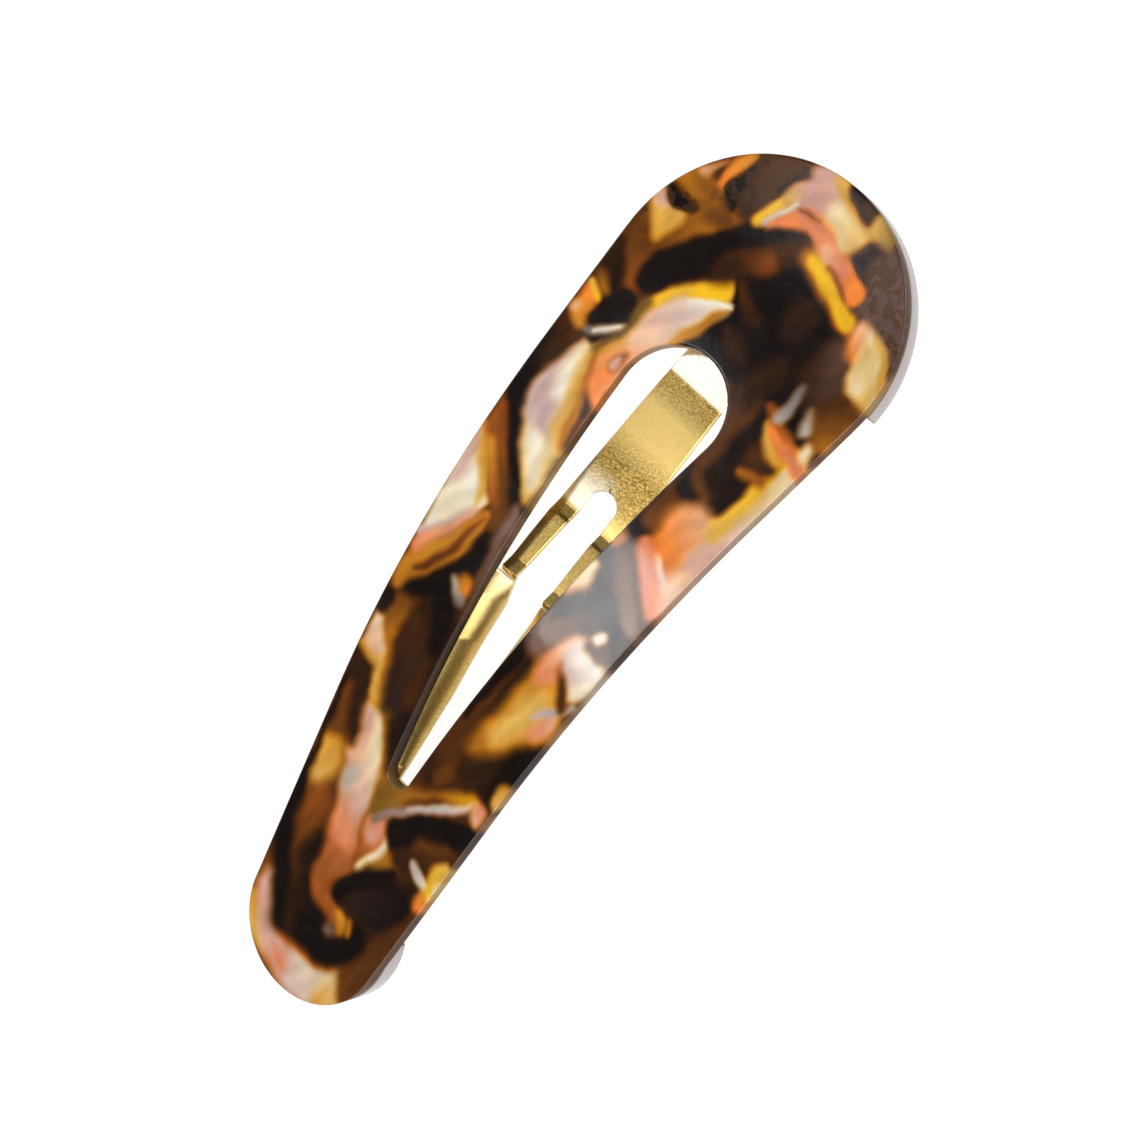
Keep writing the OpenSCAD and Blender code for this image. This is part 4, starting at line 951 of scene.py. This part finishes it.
class HAIRCLIP_OT_cover(bpy.types.Operator):
    """Models the arched acetate cover with its drop-shaped opening"""
    bl_idname = "hairclip.cover"
    bl_label = "Acetate cover"

    def execute(self, context):
        settings = context.scene.clip_cover
        cover = self.flat_ring(context, settings)
        apply_modifier(cover, "SOLIDIFY", thickness=settings.sheet, offset=-1)
        round_edges(cover, settings.edge_round, segments=3, degrees=50)
        self.thin_underside(context, cover)
        mesh = cover.data
        flat = np.empty(len(mesh.vertices) * 3)
        mesh.vertices.foreach_get("co", flat)
        flat = flat.reshape(-1, 3)
        paint_flakes(mesh, flat, settings.sheet)
        for polygon in mesh.polygons:
            polygon.material_index = int(abs(polygon.normal.z) < WALL_UPRIGHT)
        bent = Arch(settings).bend(flat[:, 0], flat[:, 1], -flat[:, 2])
        mesh.vertices.foreach_set("co", bent.ravel())
        mesh.update()
        smooth(cover, 35)
        # The cut edge shines less than the polished face
        for name, roughness, specular in (
                ("tortoiseshell_acetate", 0.05, 0.5), ("tortoiseshell_cut_edge", 0.22, 0.02)):
            cover.data.materials.append(acetate_material(name, roughness, specular))
        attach(cover, "clip")
        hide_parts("cover")
        return {"FINISHED"}

    def flat_ring(self, context, settings):
        """A flat sheet from the opening out to the outline, in narrow rings of faces."""
        shares = [point / ROUND_COUNT for point in range(ROUND_COUNT)]
        opening = [drop_point(share, settings.opening_tail_at, settings.opening_tail / 2,
                              settings.opening_head_at, settings.opening_head / 2, 0) for share in shares]
        tail_radius = settings.tail_width / 2
        head_radius = settings.head_width / 2
        outline = [drop_point(share, tail_radius, tail_radius, settings.arch_length - head_radius,
                              head_radius, settings.side_bow) for share in shares]
        deselect()
        bpy.ops.mesh.primitive_circle_add(vertices=ROUND_COUNT, radius=0.01, fill_type="NOTHING")
        cover = context.object
        cover.name = "acetate_cover"
        mesh = cover.data
        for vertex, place in zip(mesh.vertices, opening):
            vertex.co = (*place, 0)
        with editing(cover, everything=True):
            bpy.ops.mesh.extrude_edges_move()
        # Spokes run from the opening's points to the new ones, which move out to the outline
        spokes = [edge for edge in mesh.edges if min(edge.vertices) < ROUND_COUNT <= max(edge.vertices)]
        for spoke in spokes:
            inner, outer = sorted(spoke.vertices)
            mesh.vertices[outer].co = (*outline[inner], 0)
        context.tool_settings.mesh_select_mode = EDGES
        select_nothing(mesh)
        for spoke in spokes:
            spoke.select = True
        with editing(cover):
            bpy.ops.mesh.subdivide(number_cuts=RING_COUNT - 1)
            context.tool_settings.mesh_select_mode = CORNERS
            bpy.ops.mesh.select_all(action="SELECT")
            bpy.ops.mesh.normals_make_consistent(inside=False)
        if mesh.polygons[0].normal.z < 0:
            mesh.flip_normals()
        return cover

    def thin_underside(self, context, cover):
        """Gives the underside wider faces than the marbled upper face has."""
        context.tool_settings.mesh_select_mode = FACES
        select_nothing(cover.data)
        for face in cover.data.polygons:
            face.select = face.normal.z < UNDERSIDE_UPRIGHT
        with editing(cover):
            bpy.ops.mesh.delete(type="FACE")
            context.tool_settings.mesh_select_mode = EDGES
            bpy.ops.mesh.select_non_manifold()
            bpy.ops.mesh.bridge_edge_loops(number_cuts=UNDERSIDE_CUTS, interpolation="LINEAR")
            context.tool_settings.mesh_select_mode = CORNERS


class HAIRCLIP_OT_pads(bpy.types.Operator):
    """Rounds the edges of the two acetate pads"""
    bl_idname = "hairclip.pads"
    bl_label = "Acetate pads"

    def execute(self, context):
        settings = context.scene.clip_cover
        # The dark colours are painted shade near the floor; the edge material is a darker copy for the
        # rounded edges and the cut end
        face = pad_material("pale_acetate", light=(0.37, 0.32, 0.305), dark=(0.29, 0.24, 0.23))
        edge = pad_material("pale_acetate_edge", light=(0.17, 0.11, 0.09), dark=(0.13, 0.08, 0.065))
        for node, name, cut_end in (
                ("head_pad", "acetate_head_pad", -1), ("tail_pad", "acetate_tail_pad", 1)):
            pad = copy_of(node, name)
            with editing(pad, everything=True):
                bpy.ops.mesh.dissolve_limited(angle_limit=math.radians(0.5))
            pad.data.materials.append(face)
            pad.data.materials.append(edge)
            round_edges(pad, PAD_ROUNDING * settings.edge_round, segments=3, degrees=40, material=1)
            for polygon in pad.data.polygons:
                if cut_end * polygon.normal.x > CUT_END_LEAN:
                    polygon.material_index = 1
            smooth(pad, 35)
            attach(pad, "clip")
            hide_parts(node)
        return {"FINISHED"}


class HAIRCLIP_OT_metal(bpy.types.Operator):
    """Rounds the edges of the stamped frame and its tongue"""
    bl_idname = "hairclip.metal"
    bl_label = "Gilt metal"

    def execute(self, context):
        settings = context.scene.clip_metal
        for node, name, body, crease, tones, roughness in (
                ("clip_frame", "gilt_frame", "clip", 60, FRAME_TONES, 0.28),
                ("tongue", "gilt_tongue", "tongue", 2.5, TONGUE_TONES, 0.16)):
            piece = copy_of(node, name)
            round_edges(piece, settings.edge_round, segments=2, degrees=50)
            smooth(piece, crease)
            piece.data.materials.append(gilt_material(settings, "satin_" + name, tones, roughness))
            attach(piece, body)
            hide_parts(node)
        return {"FINISHED"}


class HAIRCLIP_OT_stage(bpy.types.Operator):
    """Sets up the pale floor, the soft lights and the camera"""
    bl_idname = "hairclip.stage"
    bl_label = "Stage"

    def execute(self, context):
        settings = context.scene.clip_stage
        deselect()
        bpy.ops.mesh.primitive_plane_add(size=3.0)
        floor = context.object
        floor.name = "floor"
        floor.data.materials.append(floor_material(settings))
        self.lights(context)
        self.camera(context, settings)
        return {"FINISHED"}

    def lights(self, context):
        """The world, large soft lights, and small ones that certain faces of the clip show."""
        world = bpy.data.worlds.new("studio")
        world.use_nodes = True
        world.node_tree.nodes["Background"].inputs["Color"].default_value = (1, 1, 1, 1)
        world.node_tree.nodes["Background"].inputs["Strength"].default_value = WORLD_GLOW
        context.scene.world = world
        soft_box("front_softbox", (0.1, -0.42, 0.80), 0.60, 0.40, 5.6)
        soft_box("right_softbox", (0.80, -0.20, 0.45), 0.50, 0.50, 3.2)
        soft_box("left_softbox", (-0.70, -0.45, 0.45), 0.50, 0.50, 3.2)
        soft_box("back_softbox", (0.20, 0.80, 0.60), 0.90, 0.40, 1.4)
        mirror_panel("veil_panel", (40.5, 51.2), (-12.5, -2.6), 5.7)
        mirror_panel("head_panel", (77.0, 84.5), (-11.5, 7.5), 0.8)
        mirror_panel("tongue_panel", (42.0, 65.5), (-3.4, 3.4), 1.7, depth=2.8, tilt=9.5)
        mirror_panel("tip_panel", (65.5, 79.0), (-3.4, 3.4), 4.2, depth=2.3, tilt=9.5)
        soft_box("wing_softbox", (-0.15, -0.30, 0.30), 0.24, 0.24, 1.3)
        context.scene.view_settings.view_transform = "Standard"

    def camera(self, context, settings):
        """A long lens that looks down on the clip, rolled so that its head points up."""
        back = view_back(settings)
        right = (-back).cross(Vector((0, 0, 1))).normalized()
        up = right.cross(-back)
        turned_right = math.cos(settings.roll) * right + math.sin(settings.roll) * up
        turned_up = -math.sin(settings.roll) * right + math.cos(settings.roll) * up
        data = bpy.data.cameras.new("camera")
        data.lens = 314.06
        data.sensor_width = 36
        data.shift_x = 0.005734
        data.shift_y = 0.01908
        data.clip_start = 0.05
        data.clip_end = 10
        camera = bpy.data.objects.new("camera", data)
        context.scene.collection.objects.link(camera)
        basis = Matrix((turned_right, turned_up, back)).transposed().to_4x4()
        camera.matrix_world = Matrix.Translation(eye(settings)) @ basis
        context.scene.camera = camera


# Height of the point that the camera circles, and how far from the clip the mirror panels stand
AIM_HEIGHT = 3.2317 * MM
PANEL_REACH = 0.12


def view_back(settings):
    """The direction from the clip to the camera."""
    return Vector((math.sin(settings.azimuth) * math.cos(settings.elevation),
                   -math.cos(settings.azimuth) * math.cos(settings.elevation),
                   math.sin(settings.elevation)))


def eye(settings):
    """The camera's place."""
    return Vector((0, 0, AIM_HEIGHT)) + settings.distance * view_back(settings)


def area_light(name, centre, across_x, across_y, brightness):
    """An area light that spans two vectors; its brightness is what a mirror of it would show."""
    data = bpy.data.lights.new(name, "AREA")
    data.shape = "RECTANGLE"
    data.size = across_x.length
    data.size_y = across_y.length
    data.energy = 4 * data.size * data.size_y * brightness
    light = bpy.data.objects.new(name, data)
    bpy.context.scene.collection.objects.link(light)
    outward = across_x.cross(across_y).normalized()
    if outward.dot(centre) < 0:
        outward = -outward
    basis = Matrix((across_x.normalized(), outward.cross(across_x).normalized(), outward))
    light.matrix_world = Matrix.Translation(centre) @ basis.transposed().to_4x4()
    light.visible_camera = False


def soft_box(name, place, width, height, brightness):
    """A large soft light that faces the clip."""
    place = Vector(place)
    side = Vector((0, 0, 1)).cross(place).normalized()
    area_light(name, place, side * width, place.cross(side).normalized() * height, brightness)


def mirror_panel(name, along, across, brightness, depth=0.0, tilt=None):
    """A small soft light that a glossy face shows between two places along and across the clip.

    Places and depth are in millimetres; tilt is the face's own fall in degrees where it has one.
    """
    scene = bpy.context.scene
    arch = Arch(scene.clip_cover)
    camera = eye(scene.clip_stage)
    ends = {}
    for end_u, u in enumerate(along):
        for end_v, v in enumerate(across):
            point = Vector(arch.bend(u * MM, v * MM, depth * MM))
            fall = arch.slope(u * MM) if tilt is None else math.radians(tilt)
            normal = Vector((math.sin(fall), 0, math.cos(fall)))
            to_eye = (camera - point).normalized()
            ends[end_u, end_v] = point + PANEL_REACH * (2 * normal.dot(to_eye) * normal - to_eye)
    centre = sum(ends.values(), Vector()) / 4
    across_x = (ends[1, 0] + ends[1, 1] - ends[0, 0] - ends[0, 1]) / 2
    across_y = (ends[0, 1] + ends[1, 1] - ends[0, 0] - ends[1, 0]) / 2
    area_light(name, centre, across_x, across_y, brightness)


class HAIRCLIP_PT_panel(bpy.types.Panel):
    """Lists the clip's sizes, colours and pieces"""
    bl_idname = "HAIRCLIP_PT_panel"
    bl_label = "Hair clip"
    bl_space_type = "VIEW_3D"
    bl_region_type = "UI"
    bl_category = "Hair clip"

    def draw(self, context):
        layout = self.layout
        for group in (context.scene.clip_cover, context.scene.clip_metal, context.scene.clip_stage):
            column = layout.box().column()
            for name in group.__annotations__:
                column.prop(group, name)
        for operator in (HAIRCLIP_OT_cover, HAIRCLIP_OT_pads, HAIRCLIP_OT_metal, HAIRCLIP_OT_stage):
            layout.operator(operator.bl_idname)


CLASSES = (
    ClipCoverSettings,
    ClipMetalSettings,
    ClipStageSettings,
    HAIRCLIP_OT_cover,
    HAIRCLIP_OT_pads,
    HAIRCLIP_OT_metal,
    HAIRCLIP_OT_stage,
    HAIRCLIP_PT_panel,
)


def register():
    for kind in CLASSES:
        bpy.utils.register_class(kind)
    bpy.types.Scene.clip_cover = bpy.props.PointerProperty(type=ClipCoverSettings)
    bpy.types.Scene.clip_metal = bpy.props.PointerProperty(type=ClipMetalSettings)
    bpy.types.Scene.clip_stage = bpy.props.PointerProperty(type=ClipStageSettings)


def unregister():
    del bpy.types.Scene.clip_stage
    del bpy.types.Scene.clip_metal
    del bpy.types.Scene.clip_cover
    for kind in reversed(CLASSES):
        bpy.utils.unregister_class(kind)


def main():
    register()
    bpy.ops.hairclip.stage()
    bpy.ops.hairclip.cover()
    bpy.ops.hairclip.pads()
    bpy.ops.hairclip.metal()


if __name__ == "__main__":
    main()
